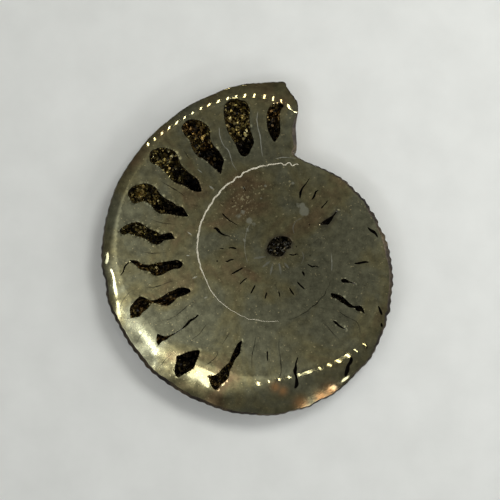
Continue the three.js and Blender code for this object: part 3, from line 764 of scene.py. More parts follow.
def flankSurface(x, y):
    # the lowest of the outer whorl and of the three inner ones that show in the umbilicus
    turn0, radius = polar(x, y)
    lowest = np.full(len(x), face["height"] - flank["shallowest"])
    for lap in range(4):
        turn = turn0 - 360 * lap
        edge, seam = whorlRadius(turn), seamRadius(turn)
        depth = depthAt[min(lap, 2)](turn0) * (0.7 if lap == 3 else 1)
        t = (radius - seam) / (edge - seam)
        share = flankShare(np.clip(t, 0, 1))
        wall = np.clip(1 - (seam - radius) / (flank["umbilicalWall"] * (0.6 + 0.4 / (lap + 1))), 0, 1)
        share = np.where(t < 0, share * np.sqrt(wall), share)
        rimDepth = (bevelDrop(turn0) if lap == 0 else coil["bevelDrop"][0]) + coil["bandDrop"]
        rib = flank["ribHeight"] * (flank["umbilicalRibFade"] ** lap) * ribWave(turn, np.clip(t, 0, 1))
        rib = rib * share * smoothstep(t, 0.02, 0.15)
        tilt = flank["slope"][0] * x + flank["slope"][1] * y
        z = face["height"] - (rimDepth + (depth + rib + tilt - rimDepth) * share)
        whole = (lap > 0) | (turn0 < flank["apertureTurn"]) | (radius > flank["notchRadius"])
        reach = (t <= 1.02) & (radius > seam - flank["umbilicalWall"]) & whole
        lowest = np.where(reach, np.minimum(lowest, z), lowest)
    return lowest


# shares of the way from the seam to the edge at which the mesh has points, closer where it curves
tShares = np.array([
    0.0, 0.03, 0.07, 0.12, 0.18, 0.25, 0.32, 0.39, 0.45, 0.5,
    0.55, 0.6, 0.66, 0.72, 0.78, 0.84, 0.89, 0.93, 0.96, 0.98,
])
spread = []
for lap in range(4):
    for turn in np.arange(0, 360, flank["turnStep"] * (1 + 0.8 * lap)):
        edge, seam = float(whorlRadius(turn - 360 * lap)), float(seamRadius(turn - 360 * lap))
        shares = tShares if lap == 0 else np.linspace(0.0, 0.8, 10 - lap)
        onWall = seam - flank["umbilicalWall"] * np.array([0.3, 0.7, 1.0])
        radii = np.concatenate([seam + (edge - seam) * shares, onWall])
        if lap:
            radii = radii[radii < seamRadius(turn - 360 * (lap - 1)) - flank["umbilicalWall"]]
        spread.append(np.column_stack(place(turn, radii)))
spread = np.vstack(spread + [hexGrid(low, high, 1.1, 0.1, rng)])
spread = spread[inside(*spread.T, outline)]
spread = spread[nearest(*spread.T, outline)[0] > 0.1]
lowXY, lowFaces, _, lowFound = planar([outline], [], spread)
lowZ = flankSurface(*lowXY.T)
lowZ += flank["roughness"] * (wobble(*lowXY.T, 0.8, 1.3) + wobble(*lowXY.T, 2.5, 4.3))
print("flank planned", len(lowXY), "points")

# one closed body: polished face, natural band, broken end and flank

count = len(outline)
topEdge = np.array([topFound[i] for i in range(count)])
lowEdge = np.array([lowFound[i] for i in range(count)])
rimZ = topZ[topEdge] - np.where(isGrown, coil["bandDrop"], 0.1) + 0.05 * wobble(*outline.T, 0.5, 9.1)
lowZ[lowEdge] = np.where(isGrown, rimZ, np.minimum(lowZ[lowEdge], rimZ - 0.4))
middle = (polishEdge + outline) / 2 + outward(outline) * (0.06 * wobble(*outline.T, 0.35, 3.3))[:, None]
middleZ = topZ[topEdge] - 0.3 * (topZ[topEdge] - rimZ) + 0.03 * wobble(*outline.T, 0.3, 7.7)

points = [np.column_stack([topXY, topZ])]
faces, slots, smooth = [list(f) for f in topFaces], list(topSlots), [s != slotOf["lining"] for s in topSlots]


def addPoints(xy, z):
    first = sum(len(p) for p in points)
    points.append(np.column_stack([xy, z]))
    return first + np.arange(len(z))


def strip(upper, lower, slot, where):
    for i in np.flatnonzero(where):
        j = (i + 1) % count
        ring = list(dict.fromkeys([upper[i], lower[i], lower[j], upper[j]]))
        if len(ring) > 2:
            faces.append(ring)
            slots.append(slotOf[slot])
            smooth.append(slot != "broken")


isWall = ~(isGrown & np.roll(isGrown, -1))
everywhere = np.ones(count, bool)
middleRow = addPoints(middle, middleZ)
outerRow = addPoints(outline, rimZ)
lowPoints = addPoints(lowXY, lowZ)
lowRow = np.where(isGrown, outerRow, lowPoints[lowEdge])
strip(topEdge, middleRow, "natural", everywhere)
strip(middleRow, outerRow, "natural", everywhere)
above, wallRows = outerRow, 8
for k in range(1, wallRows):
    share = k / wallRows
    bulge = 0.25 * math.sin(math.pi * share)
    rough = bulge * wobble(outline[:, 0] * 2 + k * 0.9, rimZ + k * 0.6, 0.9, 5.5) - 0.04
    row = addPoints(outline - outward(outline) * rough[:, None], rimZ + (lowZ[lowEdge] - rimZ) * share)
    row = np.where(isGrown, outerRow, row)
    strip(above, row, "broken", isWall)
    above = row
strip(above, lowRow, "broken", isWall)
relabel = {int(a): int(b) for a, b in zip(lowPoints[lowEdge], lowRow)}
for f in lowFaces:
    faces.append([relabel.get(int(lowPoints[v]), int(lowPoints[v])) for v in reversed(f)])
    slots.append(slotOf["natural"])
    smooth.append(True)

allPoints = np.vstack(points)
used = np.unique(np.concatenate([np.array(f) for f in faces]))
renumber = np.full(len(allPoints), -1)
renumber[used] = np.arange(len(used))
body = bpy.data.meshes.new("fossil_half")
body.from_pydata([tuple(p * mm) for p in allPoints[used]], [], [[int(renumber[v]) for v in f] for f in faces])
body.polygons.foreach_set("material_index", slots)
body.polygons.foreach_set("use_smooth", smooth)

# what the materials need to know at each point of the mesh
clouds = {
    # cloudy patches of paler mineral: place, radius and strength
    "pale": [
        (7.9, 5.0, 0.75, 0.8), (7.6, 5.8, 0.5, 0.7), (0.3, 3.7, 0.55, 0.6), (-0.6, 4.9, 0.45, 0.55),
        (0.9, 3.2, 0.35, 0.6), (0.1, 2.4, 0.4, 0.55), (-0.5, 2.1, 0.22, 1.0), (-0.4, 1.0, 0.22, 0.9),
        (0.55, 6.2, 0.2, 0.8), (0.55, 5.2, 0.2, 0.8), (2.5, 8.4, 0.2, 0.8), (1.9, 6.7, 0.18, 0.7),
        (-0.4, 8.2, 0.2, 0.7), (6.3, 8.8, 0.22, 0.8), (-0.3, 0.1, 0.35, 0.4), (-0.9, -16.4, 1.1, 0.3),
        (6.9, 5.9, 0.5, 0.5), (-1.2, 4.3, 0.5, 0.5), (1.1, 2.9, 0.5, 0.4), (7.6, 2.4, 0.3, 0.4),
        (8.6, 3.4, 0.3, 0.4),
    ],
    # orange tarnish: place and radius
    "tarnish": [
        (11.4, -19.6, 1.0), (10.2, -20.4, 0.9), (7.3, -21.3, 0.9), (4.9, -19.6, 0.6), (3.9, -19.1, 0.6),
    ],
    # duller polish: place and radius
    "scuffed": [(-14.0, -13.0, 8.5), (9.6, -20.8, 2.6)],
    # browner parts, or greyer ones where the amount is below nought: place, radius and amount
    "warm": [
        (-1.5, 7.5, 3.6, 0.22), (1.5, 9.0, 3.0, 0.12), (-0.5, 3.0, 2.5, -0.08), (-5.0, 0.5, 3.0, -0.1),
        (-9.5, 4.0, 5.5, -0.07), (4.5, 8.0, 4.0, 0.04), (-2.0, 18.0, 7.0, -0.03), (9.0, -4.0, 7.0, -0.05),
        (-10.0, -6.0, 6.0, -0.08), (-5.0, -14.0, 6.0, -0.1),
    ],
    # bright grains gather here: place and radius
    "grainy": [
        (-0.6, 6.7, 1.3), (1.3, 8.2, 1.7), (-2.3, 5.6, 1.8), (-4.3, 4.0, 0.8), (-2.2, 1.9, 0.9),
        (5.4, 9.0, 1.2),
    ],
    # a dark stain around an opening: its rim, the amount and how far it reaches
    "stained": [(pit["rim"], 0.6, 0.5), (besidePit["rim"], 0.5, 0.4)],
}
px, py = allPoints[used, 0], allPoints[used, 1]


def spot(x, y, radius, amount=1.0):
    # the whole amount at the middle of a round spot, fading around it
    return amount * np.exp(-((px - x) ** 2 + (py - y) ** 2) / radius**2)


halos = []
for rim, amount, reach in clouds["stained"]:
    halos.append(amount * (1 - smoothstep(nearest(px, py, rim)[0], 0.05, reach)))
pointValues = {"halo": np.maximum.reduce(halos)}
for name in ("pale", "tarnish"):
    pointValues[name] = np.maximum.reduce([spot(*s) for s in clouds[name]])
for name in ("scuffed", "warm", "grainy"):
    pointValues[name] = sum(spot(*s) for s in clouds[name])
for name, values in pointValues.items():
    body.attributes.new(name, "FLOAT", "POINT").data.foreach_set("value", values.astype(np.float32))

# crisp creases where the polish ends, and exact normals on the polish so that it mirrors cleanly
polishSlots = {slotOf[k] for k in ("polished", "calcite", "paleWall", "darkSeam", "paleStreak")}
body.set_sharp_from_angle(angle=math.radians(50))
polishBeside = {}
for polygon in body.polygons:
    for key in polygon.edge_keys:
        polishBeside.setdefault(key, set()).add(slots[polygon.index] in polishSlots)
for edge in body.edges:
    if len(polishBeside[edge.key]) > 1:
        edge.use_edge_sharp = True
step = 0.02
slopeX = (polishHeight(px + step, py) - polishHeight(px - step, py)) / (2 * step)
slopeY = (polishHeight(px, py + step) - polishHeight(px, py - step)) / (2 * step)
exact = np.column_stack([-slopeX, -slopeY, np.ones(len(px))])
exact /= np.linalg.norm(exact, axis=1)[:, None]
onFace = np.abs(allPoints[used, 2] - polishHeight(px, py)) < 1e-4
normals = []
for polygon in body.polygons:
    flat = slots[polygon.index] in polishSlots
    for v in polygon.vertices:
        normals.append(tuple(exact[v]) if flat and onFace[v] else (0.0, 0.0, 0.0))
body.normals_split_custom_set(normals)
fossil = bpy.data.objects.new("fossil_half", body)
bpy.context.collection.objects.link(fossil)
print("fossil built", len(body.polygons), "faces")

# crystals that line the chambers

crystals = {
    "perSquareMm": 48,
    "smallest": 0.07,
    "largest": 0.27,
    "rimPerMm": 9,
    "clumpSize": 0.75,
    "clumpHeight": 0.35,
    "kinds": (0.68, 0.17, 0.15),  # shares of cubes, clipped cubes and twelve sided crystals
    "stretch": (0.75, 1.2),
    "rimGap": 0.07,               # how far the row along the wall stands inside the rim
    "smallChamber": 2,            # square mm, below which a chamber's crystals are half the size
}


def crystalShapes():
    # corners and sides of each kind
    signs = (-1, 1)
    cube = [(a, b, c) for a in signs for b in signs for c in signs]
    clipped = [(a, b, c * 0.6) for a, b, c in cube]
    clipped += [(a, b * 0.6, c) for a, b, c in cube] + [(a * 0.6, b, c) for a, b, c in cube]
    twelve = [(a * 0.85, b * 0.85, c * 0.85) for a, b, c in cube]
    for a in signs:
        for b in signs:
            twelve += [(0, a * 1.25, b * 0.55), (a * 1.25, b * 0.55, 0), (b * 0.55, 0, a * 1.25)]
    made = []
    for points in (cube, clipped, twelve):
        build = bmesh.new()
        for p in points:
            build.verts.new(p)
        bmesh.ops.convex_hull(build, input=build.verts)
        bmesh.ops.dissolve_limit(build, angle_limit=0.02, verts=build.verts, edges=build.edges)
        build.verts.index_update()
        shapeSides = [[v.index for v in f.verts] for f in build.faces]
        made.append(([np.array(v.co) for v in build.verts], shapeSides))
        build.free()
    return made


shapes = crystalShapes()
dice = random.Random(11)
corners, sides, shine, rust = [], [], [], []


def addCrystal(x, y, z, size, bright, rusty):
    shape, shapeSides = shapes[dice.choices((0, 1, 2), crystals["kinds"])[0]]
    angle = dice.uniform(0, 6.3)
    axis = Vector([dice.gauss(0, 1) for _ in range(3)]).normalized()
    turn = Matrix.Rotation(angle, 3, axis)
    stretch = np.array([size * dice.uniform(*crystals["stretch"]) for _ in range(3)])
    first = len(corners)
    corners.extend([np.array(turn @ Vector(p * stretch)) + (x, y, z) for p in shape])
    shine.extend([bright] * len(shape))
    rust.extend([rusty] * len(shape))
    sides.extend([first + v for v in side] for side in shapeSides)


for opening in openings:
    if opening["kind"] == "slit":
        continue
    rim = opening["rim"]
    wanted = int(opening["area"] * crystals["perSquareMm"])
    tries = rng.uniform(rim.min(0), rim.max(0), (wanted * 6 + 40, 2))
    tries = tries[inside(*tries.T, rim)][:wanted]
    gap = edgeDistance(*tries.T, rim)
    tries, gap = tries[gap > 0.05], gap[gap > 0.05]
    wall = rim + outward(rim) * crystals["rimGap"]
    wall = wall[::max(1, round(1 / (crystals["rimPerMm"] * chambers["rimStep"])))]
    xy = np.vstack([tries, wall])
    gaps = np.concatenate([gap, np.full(len(wall), crystals["rimGap"])])
    top = faceSurface(*xy.T)
    floor = top - openingDepth(*xy.T)
    clump = wobble(*xy.T, crystals["clumpSize"], 12.7)
    # in the pit the crystals are painted brighter on the clumps and darker between them, as painted light and
    # shade
    if opening["kind"] == "pit":
        bright, stained = opening["brassy"] * (0.3 + 0.7 * smoothstep(clump, 0.0, 0.4)), np.ones(len(xy))
    else:
        # brighter brass towards the outer end of the chamber and where the crystals stand in clumps, as
        # painted light; nearly black towards the inner end, as painted shade
        reach = polar(*xy.T)[1]
        outer = (reach - reach.min()) / (reach.max() - reach.min())
        bright = smoothstep(outer + 0.4 * wobble(*xy.T, 1.3, 6.6), 0.15, 0.75)
        bright = opening["brassy"] * bright * (0.25 + 0.75 * smoothstep(clump, -0.4, 0.3))
        stained = smoothstep(wobble(*xy.T, 1.6, 3.9), -0.5, 0.4)
    for k in range(len(xy)):
        size = crystals["smallest"] + (crystals["largest"] - crystals["smallest"]) * dice.random() ** 2.2
        size *= 0.5 if opening["area"] < crystals["smallChamber"] else 1
        size = min(size, gaps[k] * 1.6 + 0.05) / 2 ** 0.5
        if k >= len(tries):
            z = top[k] - dice.uniform(0.2, 1) * opening["depth"] * 0.6
        else:
            z = floor[k] + 0.2 * size + crystals["clumpHeight"] * clump[k]
        addCrystal(*xy[k], min(z, top[k] - 0.06 - 1.3 * size), size,
                   float(bright[k]), float(opening["rusty"] * stained[k]))
druse = bpy.data.meshes.new("chamber_crystals")
druse.from_pydata([tuple(c * mm) for c in corners], [], sides)
for name, values in (("shine", shine), ("rust", rust)):
    druse.attributes.new(name, "FLOAT", "POINT").data.foreach_set("value", np.array(values, np.float32))
druse.update()
crystalPiece = bpy.data.objects.new("chamber_crystals", druse)
bpy.context.collection.objects.link(crystalPiece)
print("crystals built", len(sides), "sides", sum(len(s) - 2 for s in sides), "triangles")

# materials


def toLinear(code):
    channels = [int(code[i:i + 2], 16) / 255 for i in (1, 3, 5)]
    return tuple(c / 12.92 if c <= 0.04045 else ((c + 0.055) / 1.055) ** 2.4 for c in channels) + (1.0,)


def addNode(tree, kind, settings=None, links=None):
    # a shader node, its settings (attributes or input values by name or number) and what feeds its inputs
    made = tree.nodes.new("ShaderNode" + kind)
    for name, value in (settings or {}).items():
        if name == "stops":
            ramp = made.color_ramp
            while len(ramp.elements) < len(value):
                ramp.elements.new(1.0)
            for element, (at, tone) in zip(ramp.elements, value):
                element.position = at
                element.color = toLinear(tone) if isinstance(tone, str) else (tone, tone, tone, 1)
        elif isinstance(name, int) or name in made.inputs:
            made.inputs[name].default_value = toLinear(value) if isinstance(value, str) else value
        else:
            setattr(made, name, value)
    for name, (source, output) in (links or {}).items():
        tree.links.new(source.outputs[output], made.inputs[name])
    return made


def perMm(size):
    return 1000 / size  # texture scale for features of that many millimetres


def newMaterial(name):
    made = bpy.data.materials.new(name)
    made.use_nodes = True
    made.node_tree.nodes.clear()
    return made, made.node_tree


polish = {
    "olive": "#857f5b", "grey": "#7e7d63", "brown": "#816f50", "paleTone": "#b9b9a2",
    "grain": "#d2c596", "stain": "#463f3a", "tarnish": "#c99b66",
    "roughness": 0.018, "scuffs": 0.16, "metallic": 0.92,
    # sizes of the pattern in mm
    "cloudSize": 9, "mottleSize": 1.1, "seamSize": 3.2, "grainSize": 0.28, "tintSize": 0.8,
    "rippleSize": 3, "scratchSize": 0.9,
    # height of the uneven polish in metres
    "ripple": 0.00001, "scratch": 0.000012,
}


def polishedPyrite(name, tint=None, tintAmount=0.0):
    # iron pyrites, sawn and polished to a mirror: an olive grey metal face, browner and greyer in clouds,
    # with the fine wandering lines and bright flecks of the crystals that fill it; a tint makes a line in it
    made, tree = newMaterial(name)
    where = addNode(tree, "TexCoord")
    here = {"Vector": (where, "Object")}
    part = {
        key: addNode(tree, "Attribute", {"attribute_name": key})
        for key in ("warm", "grainy", "pale", "halo", "tarnish", "scuffed")
    }
    cloud = addNode(tree, "TexNoise", {
        "Scale": perMm(polish["cloudSize"]), "Detail": 5.0, "Roughness": 0.55, "Distortion": 0.6,
    }, here)
    cast = addNode(tree, "Math", {"operation": "SUBTRACT"}, {0: (cloud, "Fac"), 1: (part["warm"], "Fac")})
    tone = addNode(tree, "ValToRGB", {
        "stops": [(0.38, polish["brown"]), (0.49, polish["olive"]), (0.6, polish["grey"])],
    }, {"Fac": (cast, "Value")})
    mottle = addNode(tree, "TexNoise", {
        "Scale": perMm(polish["mottleSize"]), "Detail": 7.0, "Roughness": 0.75,
    }, here)
    mottleTone = addNode(tree, "MapRange", {
        "From Min": 0.3, "From Max": 0.7, "To Min": 0.54, "To Max": 1.45,
    }, {"Value": (mottle, "Fac")})
    mottled = addNode(tree, "Mix", {"data_type": "RGBA", "blend_type": "MULTIPLY", 0: 1.0},
                      {6: (tone, "Color"), 7: (mottleTone, "Result")})
    # contour lines of a slow noise make thin wandering seams
    slow = addNode(tree, "TexNoise", {
        "Scale": perMm(polish["seamSize"]), "Detail": 2.0, "Distortion": 1.2,
    }, here)
    steps = addNode(tree, "Math", {"operation": "PINGPONG", 1: 0.045}, {0: (slow, "Fac")})
    seams = addNode(tree, "MapRange", {
        "From Min": 0.0, "From Max": 0.004, "To Min": 0.72, "To Max": 1.0,
    }, {"Value": (steps, "Value")})
    seamed = addNode(tree, "Mix", {"data_type": "RGBA", "blend_type": "MULTIPLY", 0: 1.0},
                     {6: (mottled, 2), 7: (seams, "Result")})
    # bright grains, more of them where they gather
    fleck = addNode(tree, "TexNoise", {"Scale": perMm(polish["grainSize"]), "Detail": 1.0}, here)
    grains = addNode(tree, "Math", {"operation": "MULTIPLY_ADD", 1: 0.08},
                     {0: (part["grainy"], "Fac"), 2: (fleck, "Fac")})
    grainShare = addNode(tree, "MapRange", {"From Min": 0.7, "From Max": 0.77, "To Max": 0.85},
                         {"Value": (grains, "Value")})
    colour = addNode(tree, "Mix", {"data_type": "RGBA", 7: polish["grain"]},
                     {0: (grainShare, "Result"), 6: (seamed, 2)})
    # patches of paler mineral with ragged edges, and then the stain and the tarnish
    ragged = addNode(tree, "Math", {"operation": "MULTIPLY_ADD", 1: 1.6},
                     {0: (part["pale"], "Fac"), 2: (mottle, "Fac")})
    paleShare = addNode(tree, "MapRange", {"From Min": 0.95, "From Max": 1.18, "To Max": 0.7},
                        {"Value": (ragged, "Value")})
    for layer, share in (
        ("paleTone", (paleShare, "Result")), ("stain", (part["halo"], "Fac")),
        ("tarnish", (part["tarnish"], "Fac")),
    ):
        colour = addNode(tree, "Mix", {"data_type": "RGBA", 7: polish[layer]}, {0: share, 6: (colour, 2)})
    if tint:
        patchy = addNode(tree, "TexNoise", {"Scale": perMm(polish["tintSize"]), "Detail": 3.0}, here)
        amount = addNode(tree, "MapRange", {
            "From Min": 0.3, "From Max": 0.6, "To Min": tintAmount * 0.35, "To Max": tintAmount,
        }, {"Value": (patchy, "Fac")})
        colour = addNode(tree, "Mix", {"data_type": "RGBA", 7: tint}, {0: (amount, "Result"), 6: (colour, 2)})
    gloss = addNode(tree, "MapRange", {
        "From Min": 0.4, "From Max": 0.75,
        "To Min": polish["roughness"], "To Max": polish["roughness"] + 0.02,
    }, {"Value": (mottle, "Fac")})
    worn = addNode(tree, "Math", {"operation": "MULTIPLY_ADD", 1: polish["scuffs"]},
                   {0: (part["scuffed"], "Fac"), 2: (gloss, "Result")})
    ripple = addNode(tree, "TexNoise", {"Scale": perMm(polish["rippleSize"]), "Detail": 0.0}, here)
    relief = addNode(tree, "Bump", {"Strength": 0.2, "Distance": polish["ripple"]},
                     {"Height": (ripple, "Fac")})
    scratch = addNode(tree, "TexNoise", {"Scale": perMm(polish["scratchSize"]), "Detail": 2.0}, here)
    relief = addNode(tree, "Bump", {"Distance": polish["scratch"]}, {
        "Strength": (part["scuffed"], "Fac"), "Height": (scratch, "Fac"), "Normal": (relief, "Normal"),
    })
    shader = addNode(tree, "BsdfPrincipled", {"Metallic": polish["metallic"]},
                     {"Base Color": (colour, 2), "Normal": (relief, "Normal"), "Roughness": (worn, "Value")})
    addNode(tree, "OutputMaterial", {}, {"Surface": (shader, "BSDF")})
    return made


def calcite():
    # white calcite of the old shell, polished level with the pyrite: milky, waxy, a little stained
    made, tree = newMaterial("shell calcite, polished")
    where = addNode(tree, "TexCoord")
    cloud = addNode(tree, "TexNoise", {"Scale": perMm(0.7), "Detail": 4.0}, {"Vector": (where, "Object")})
    tone = addNode(tree, "ValToRGB", {"stops": [(0.3, "#8f8a75"), (0.46, "#b9b39c"), (0.7, "#cdc8b2")]},
                   {"Fac": (cloud, "Fac")})
    shader = addNode(tree, "BsdfPrincipled", {"Roughness": 0.25, "IOR": 1.57},
                     {"Base Color": (tone, "Color")})
    addNode(tree, "OutputMaterial", {}, {"Surface": (shader, "BSDF")})
    return made


def naturalCrust():
    # pyritised shell surface as it came out of the clay: dull bronze brown, tarnished, finely pitted
    made, tree = newMaterial("natural pyrite crust")
    where = addNode(tree, "TexCoord")
    here = {"Vector": (where, "Object")}
    cloud = addNode(tree, "TexNoise", {"Scale": perMm(4), "Detail": 6.0, "Roughness": 0.65}, here)
    tone = addNode(tree, "ValToRGB", {
        "stops": [(0.32, "#1c1917"), (0.47, "#332d26"), (0.58, "#4c4232"), (0.72, "#6f6145")],
    }, {"Fac": (cloud, "Fac")})
    grain = addNode(tree, "TexNoise", {"Scale": perMm(0.3), "Detail": 3.0}, here)
    speck = addNode(tree, "MapRange", {"From Min": 0.3, "From Max": 0.7, "To Min": 0.6, "To Max": 1.3},
                    {"Value": (grain, "Fac")})
    colour = addNode(tree, "Mix", {"data_type": "RGBA", "blend_type": "MULTIPLY", 0: 1.0},
                     {6: (tone, "Color"), 7: (speck, "Result")})
    gloss = addNode(tree, "MapRange", {"From Min": 0.3, "From Max": 0.7, "To Min": 0.62, "To Max": 0.34},
                    {"Value": (cloud, "Fac")})
    relief = addNode(tree, "Bump", {"Strength": 0.6, "Distance": 0.00006}, {"Height": (grain, "Fac")})
    shader = addNode(tree, "BsdfPrincipled", {"Metallic": 0.6}, {
        "Base Color": (colour, 2), "Roughness": (gloss, "Result"), "Normal": (relief, "Normal"),
    })
    addNode(tree, "OutputMaterial", {}, {"Surface": (shader, "BSDF")})
    return made


def chamberLining(name, dark, light, metallic):
    # pyrite with a granular surface: on the chamber walls a dark brown darkened nearly to black as painted
    # shade of the deep chambers, bronze where the shell broke
    made, tree = newMaterial(name)
    where = addNode(tree, "TexCoord")
    here = {"Vector": (where, "Object")}
    grain = addNode(tree, "TexVoronoi", {"Scale": perMm(0.3)}, here)
    cloud = addNode(tree, "TexNoise", {"Scale": perMm(0.5), "Detail": 4.0}, here)
    tone = addNode(tree, "ValToRGB", {"stops": [(0.35, dark), (0.7, light)]}, {"Fac": (cloud, "Fac")})
    relief = addNode(tree, "Bump", {"Strength": 0.8, "Distance": 0.0001}, {"Height": (grain, "Distance")})
    shader = addNode(tree, "BsdfPrincipled", {"Metallic": metallic, "Roughness": 0.45},
                     {"Base Color": (tone, "Color"), "Normal": (relief, "Normal")})
    addNode(tree, "OutputMaterial", {}, {"Surface": (shader, "BSDF")})
    return made


def pyriteCrystals():
    # small pyrite crystals grown into the chambers: brassy facets where painted light falls, nearly black
    # where painted shade lies on them and where they are tarnished
    made, tree = newMaterial("pyrite crystals")
    island = addNode(tree, "NewGeometry")
    facet = (island, "Random Per Island")
    brassy = addNode(tree, "ValToRGB", {"stops": [
        (0.0, "#3b3019"), (0.45, "#635430"), (0.8, "#93834f"), (0.93, "#c8ba86"), (1.0, "#ebe0b8"),
    ]}, {"Fac": facet})
    # rust runs from grey, at -1, through clean brass to orange brown, at 1
    rusty = addNode(tree, "Attribute", {"attribute_name": "rust"})
    rustPart = addNode(tree, "MapRange", {"From Min": -1.0, "From Max": 1.0}, {"Value": (rusty, "Fac")})
    wash = addNode(tree, "ValToRGB", {"stops": [(0.0, "#a3add0"), (0.5, "#f4f6e4"), (1.0, "#eaa470")]},
                   {"Fac": (rustPart, "Result")})
    washed = addNode(tree, "Mix", {"data_type": "RGBA", "blend_type": "MULTIPLY", 0: 1.0},
                     {6: (brassy, "Color"), 7: (wash, "Color")})
    brassAndLightShare = addNode(tree, "Attribute", {"attribute_name": "shine"})
    # the brass fades to nearly black where the painted shade lies
    tone = addNode(tree, "Mix", {"data_type": "RGBA", 6: "#171209"}, {0: (brassAndLightShare, "Fac"), 7: (washed, 2)})
    gloss = addNode(tree, "MapRange", {"To Min": 0.18, "To Max": 0.42}, {"Value": facet})
    shader = addNode(tree, "BsdfPrincipled", {"Metallic": 0.95},
                     {"Base Color": (tone, 2), "Roughness": (gloss, "Result")})
    addNode(tree, "OutputMaterial", {}, {"Surface": (shader, "BSDF")})
    return made


for material in (
    polishedPyrite("polished pyrite"),
    naturalCrust(),
    # the chamber walls are painted nearly black, as painted shade in the deep chambers
    chamberLining("chamber lining, darkened as painted shade", "#0b0906", "#1d1710", 0.2),
    calcite(),
    polishedPyrite("pale chamber wall line", "#dcdccb", 0.85),
    polishedPyrite("dark seam line", "#1d1c15", 0.9),
    chamberLining("broken pyrite", "#3b3426", "#8b7850", 0.7),
    polishedPyrite("pale streak by the pit", "#a9aa9c", 0.65),
):
    body.materials.append(material)
druse.materials.append(pyriteCrystals())
print("materials made")

for piece in (fossil, crystalPiece):
    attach(piece, "root")
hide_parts("ammonite_half")

# board, camera and lights

board = {
    "size": 1.6, "roughness": 0.6,
    "fibreSize": 6,  # mm
    "tones": [(0.3, "#d8dad4"), (0.7, "#dfe1db")],
}
half = board["size"] / 2
boardMesh = bpy.data.meshes.new("board")
boardCorners = [(-half, -half, 0), (half, -half, 0), (half, half, 0), (-half, half, 0)]
boardMesh.from_pydata(boardCorners, [], [(0, 1, 2, 3)])
boardPiece = bpy.data.objects.new("board", boardMesh)
bpy.context.collection.objects.link(boardPiece)
boardMaterial, tree = newMaterial("pale board")
where = addNode(tree, "TexCoord")
fibre = addNode(tree, "TexNoise", {"Scale": perMm(board["fibreSize"]), "Detail": 5.0},
                {"Vector": (where, "Object")})
tone = addNode(tree, "ValToRGB", {"stops": board["tones"]}, {"Fac": (fibre, "Fac")})
shader = addNode(tree, "BsdfPrincipled", {"Roughness": board["roughness"]}, {"Base Color": (tone, "Color")})
addNode(tree, "OutputMaterial", {}, {"Surface": (shader, "BSDF")})
boardMesh.materials.append(boardMaterial)
boardPiece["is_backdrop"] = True

shot = {
    "tilt": 3,          # degrees off straight down
    # width is what the picture spans at the face
    "distance": 0.25, "width": 0.0685, "target": (0.00041, -0.00034, face["height"] * mm), "nearest": 0.01,
}
camera = bpy.data.objects.new("camera", bpy.data.cameras.new("camera"))
tilt = math.radians(shot["tilt"])
camera.location = Vector(shot["target"]) + shot["distance"] * Vector((0, -math.sin(tilt), math.cos(tilt)))
camera.rotation_euler = (tilt, 0, 0)
camera.data.sensor_width = 36
camera.data.lens = camera.data.sensor_width * shot["distance"] / shot["width"]
camera.data.clip_start = shot["nearest"]
bpy.context.collection.objects.link(camera)
bpy.context.scene.camera = camera
bpy.context.scene.view_settings.view_transform = "Standard"

lights = {
    # azimuth from +X and lean from straight up in degrees, distance, size, power in watts
    "key": (46, 27, 0.25, 0.08, 0.2),
    "side": (8, 50, 0.17, 0.12, 0.075),
    "rimLight": (312, 42, 0.5, 0.05, 0.12),
    "low": (292, 43, 0.5, 0.09, 0.1),
}
glints = {
    # small lamps in two rows, set so that the bevel shows them along a line: number, size, the line in mm
    "rows": [
        (19, (0.003, 0.05), [
            (-13.6, 14.2), (-10.1, 16.9), (-5.4, 19.6), (-0.5, 20.9), (4.0, 20.4), (6.8, 18.6),
        ]),
        (12, (0.0016, 0.034), [(1.6, -18.6), (7.0, -17.4), (12.1, -15.7), (16.1, -13.3)]),
    ],
    "lampRadiance": 18.0,  # power over pi and the lamp's area
    "distance": 0.5,
    # soft patches on the bevel, most of them at the lower left: place in mm, lamp size and power
    "patches": [
        (-19.2, -1.9, 0.02, 0.006), (-18.0, -5.9, 0.03, 0.04), (-17.6, -8.6, 0.03, 0.04),
        (-13.3, -12.8, 0.03, 0.06), (-12.6, -14.4, 0.02, 0.06), (-6.4, -17.2, (0.03, 0.1), 0.06),
        (-9.0, -14.9, 0.006, 0.002), (11.8, -19.2, 0.012, 0.003), (13.4, -18.0, 0.01, 0.002),
    ],
    "slopeStep": 0.15,  # mm to each side, over which the bevel's slope is taken
}
lampTones = {"lights": "#fdfdff", "rows": "#fff8e8", "patches": "#f4f6ff"}


def towards(azimuth, lean):
    # unit vector in a direction given in degrees
    a, t = math.radians(azimuth), math.radians(lean)
    return math.sin(t) * math.cos(a), math.sin(t) * math.sin(a), math.cos(t)


def addLamp(name, location, size, power, tone):
    lamp = bpy.data.lights.new(name, "AREA")
    lamp.energy, lamp.color = power, toLinear(tone)[:3]
    if isinstance(size, tuple):
        lamp.shape, lamp.size, lamp.size_y = "RECTANGLE", *size
    else:
        lamp.shape, lamp.size = "DISK", size
    piece = bpy.data.objects.new(name, lamp)
    piece.location = location
    piece.rotation_euler = location.to_track_quat("Z", "Y").to_euler()
    piece.visible_camera = False
    bpy.context.collection.objects.link(piece)


def mirrorPlace(x, y, distance):
    # where a lamp stands that the polish shows at this spot
    span = glints["slopeStep"]
    east, west, north, south, middle = faceSurface(
        np.array([x + span, x - span, x, x, x]), np.array([y, y, y + span, y - span, y]),
    )
    spotAt = Vector((x, y, middle)) * mm
    normal = Vector((-(east - west) / (2 * span), -(north - south) / (2 * span), 1)).normalized()
    seen = (camera.location - spotAt).normalized()
    return spotAt + (2 * normal.dot(seen) * normal - seen) * distance


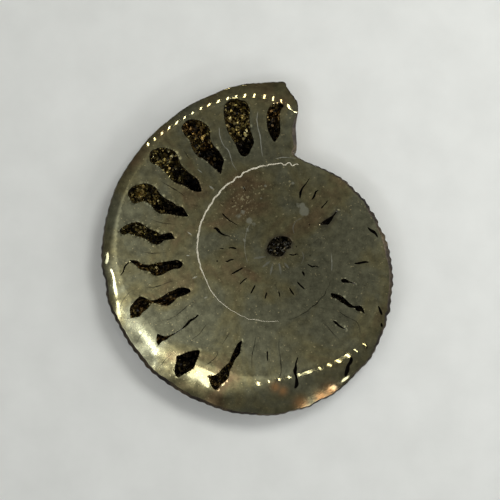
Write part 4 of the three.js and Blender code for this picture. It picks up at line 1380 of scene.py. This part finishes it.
for name, (azimuth, lean, distance, size, power) in lights.items():
    addLamp(name, Vector(towards(azimuth, lean)) * distance, size, power, lampTones["lights"])
for row, (count, size, places) in enumerate(glints["rows"]):
    power = glints["lampRadiance"] * math.pi * size[0] * size[1]
    path = smoothCurve(places, 0.1)
    for k, (x, y) in enumerate(path[np.linspace(0, len(path) - 1, count).astype(int)]):
        addLamp(f"row{row}Lamp{k}", mirrorPlace(x, y, glints["distance"]), size, power, lampTones["rows"])
for k, (x, y, size, power) in enumerate(glints["patches"]):
    addLamp(f"patchLamp{k}", mirrorPlace(x, y, glints["distance"]), size, power, lampTones["patches"])

# brightness of the studio by the lean from straight up, as its sine, and a soft glow a little to one side
studio = {
    "offset": (0.02, -0.05, 0),
    "dome": [(0.0, 0.185), (0.05, 0.2), (0.1, 0.29), (0.2, 0.34), (0.36, 0.28), (0.6, 0.15), (1.0, 0.145)],
    "glowAzimuth": 212, "glowLean": 19,
    "glow": {"From Min": 0.925, "From Max": 0.995, "To Min": 0.0, "To Max": 1.2},
}
sky = bpy.data.worlds.new("studio")
sky.use_nodes = True
tree = sky.node_tree
tree.nodes.clear()
where = addNode(tree, "TexCoord")
flat = addNode(tree, "VectorMath", {"operation": "MULTIPLY_ADD", 1: (1, 1, 0), 2: studio["offset"]},
               {0: (where, "Generated")})
lean = addNode(tree, "VectorMath", {"operation": "LENGTH"}, {0: (flat, "Vector")})
dome = addNode(tree, "ValToRGB", {"stops": studio["dome"]}, {"Fac": (lean, "Value")})
facing = addNode(tree, "VectorMath", {
    "operation": "DOT_PRODUCT", 1: towards(studio["glowAzimuth"], studio["glowLean"]),
}, {0: (where, "Generated")})
glowPart = addNode(tree, "MapRange", {"interpolation_type": "SMOOTHSTEP", **studio["glow"]},
                   {"Value": (facing, "Value")})
both = addNode(tree, "Math", {"operation": "ADD"}, {0: (dome, "Color"), 1: (glowPart, "Result")})
glow = addNode(tree, "Background", {"Strength": 1.0}, {"Color": (both, "Value")})
addNode(tree, "OutputWorld", {}, {"Surface": (glow, "Background")})
bpy.context.scene.world = sky

low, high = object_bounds()
print("scene ready")
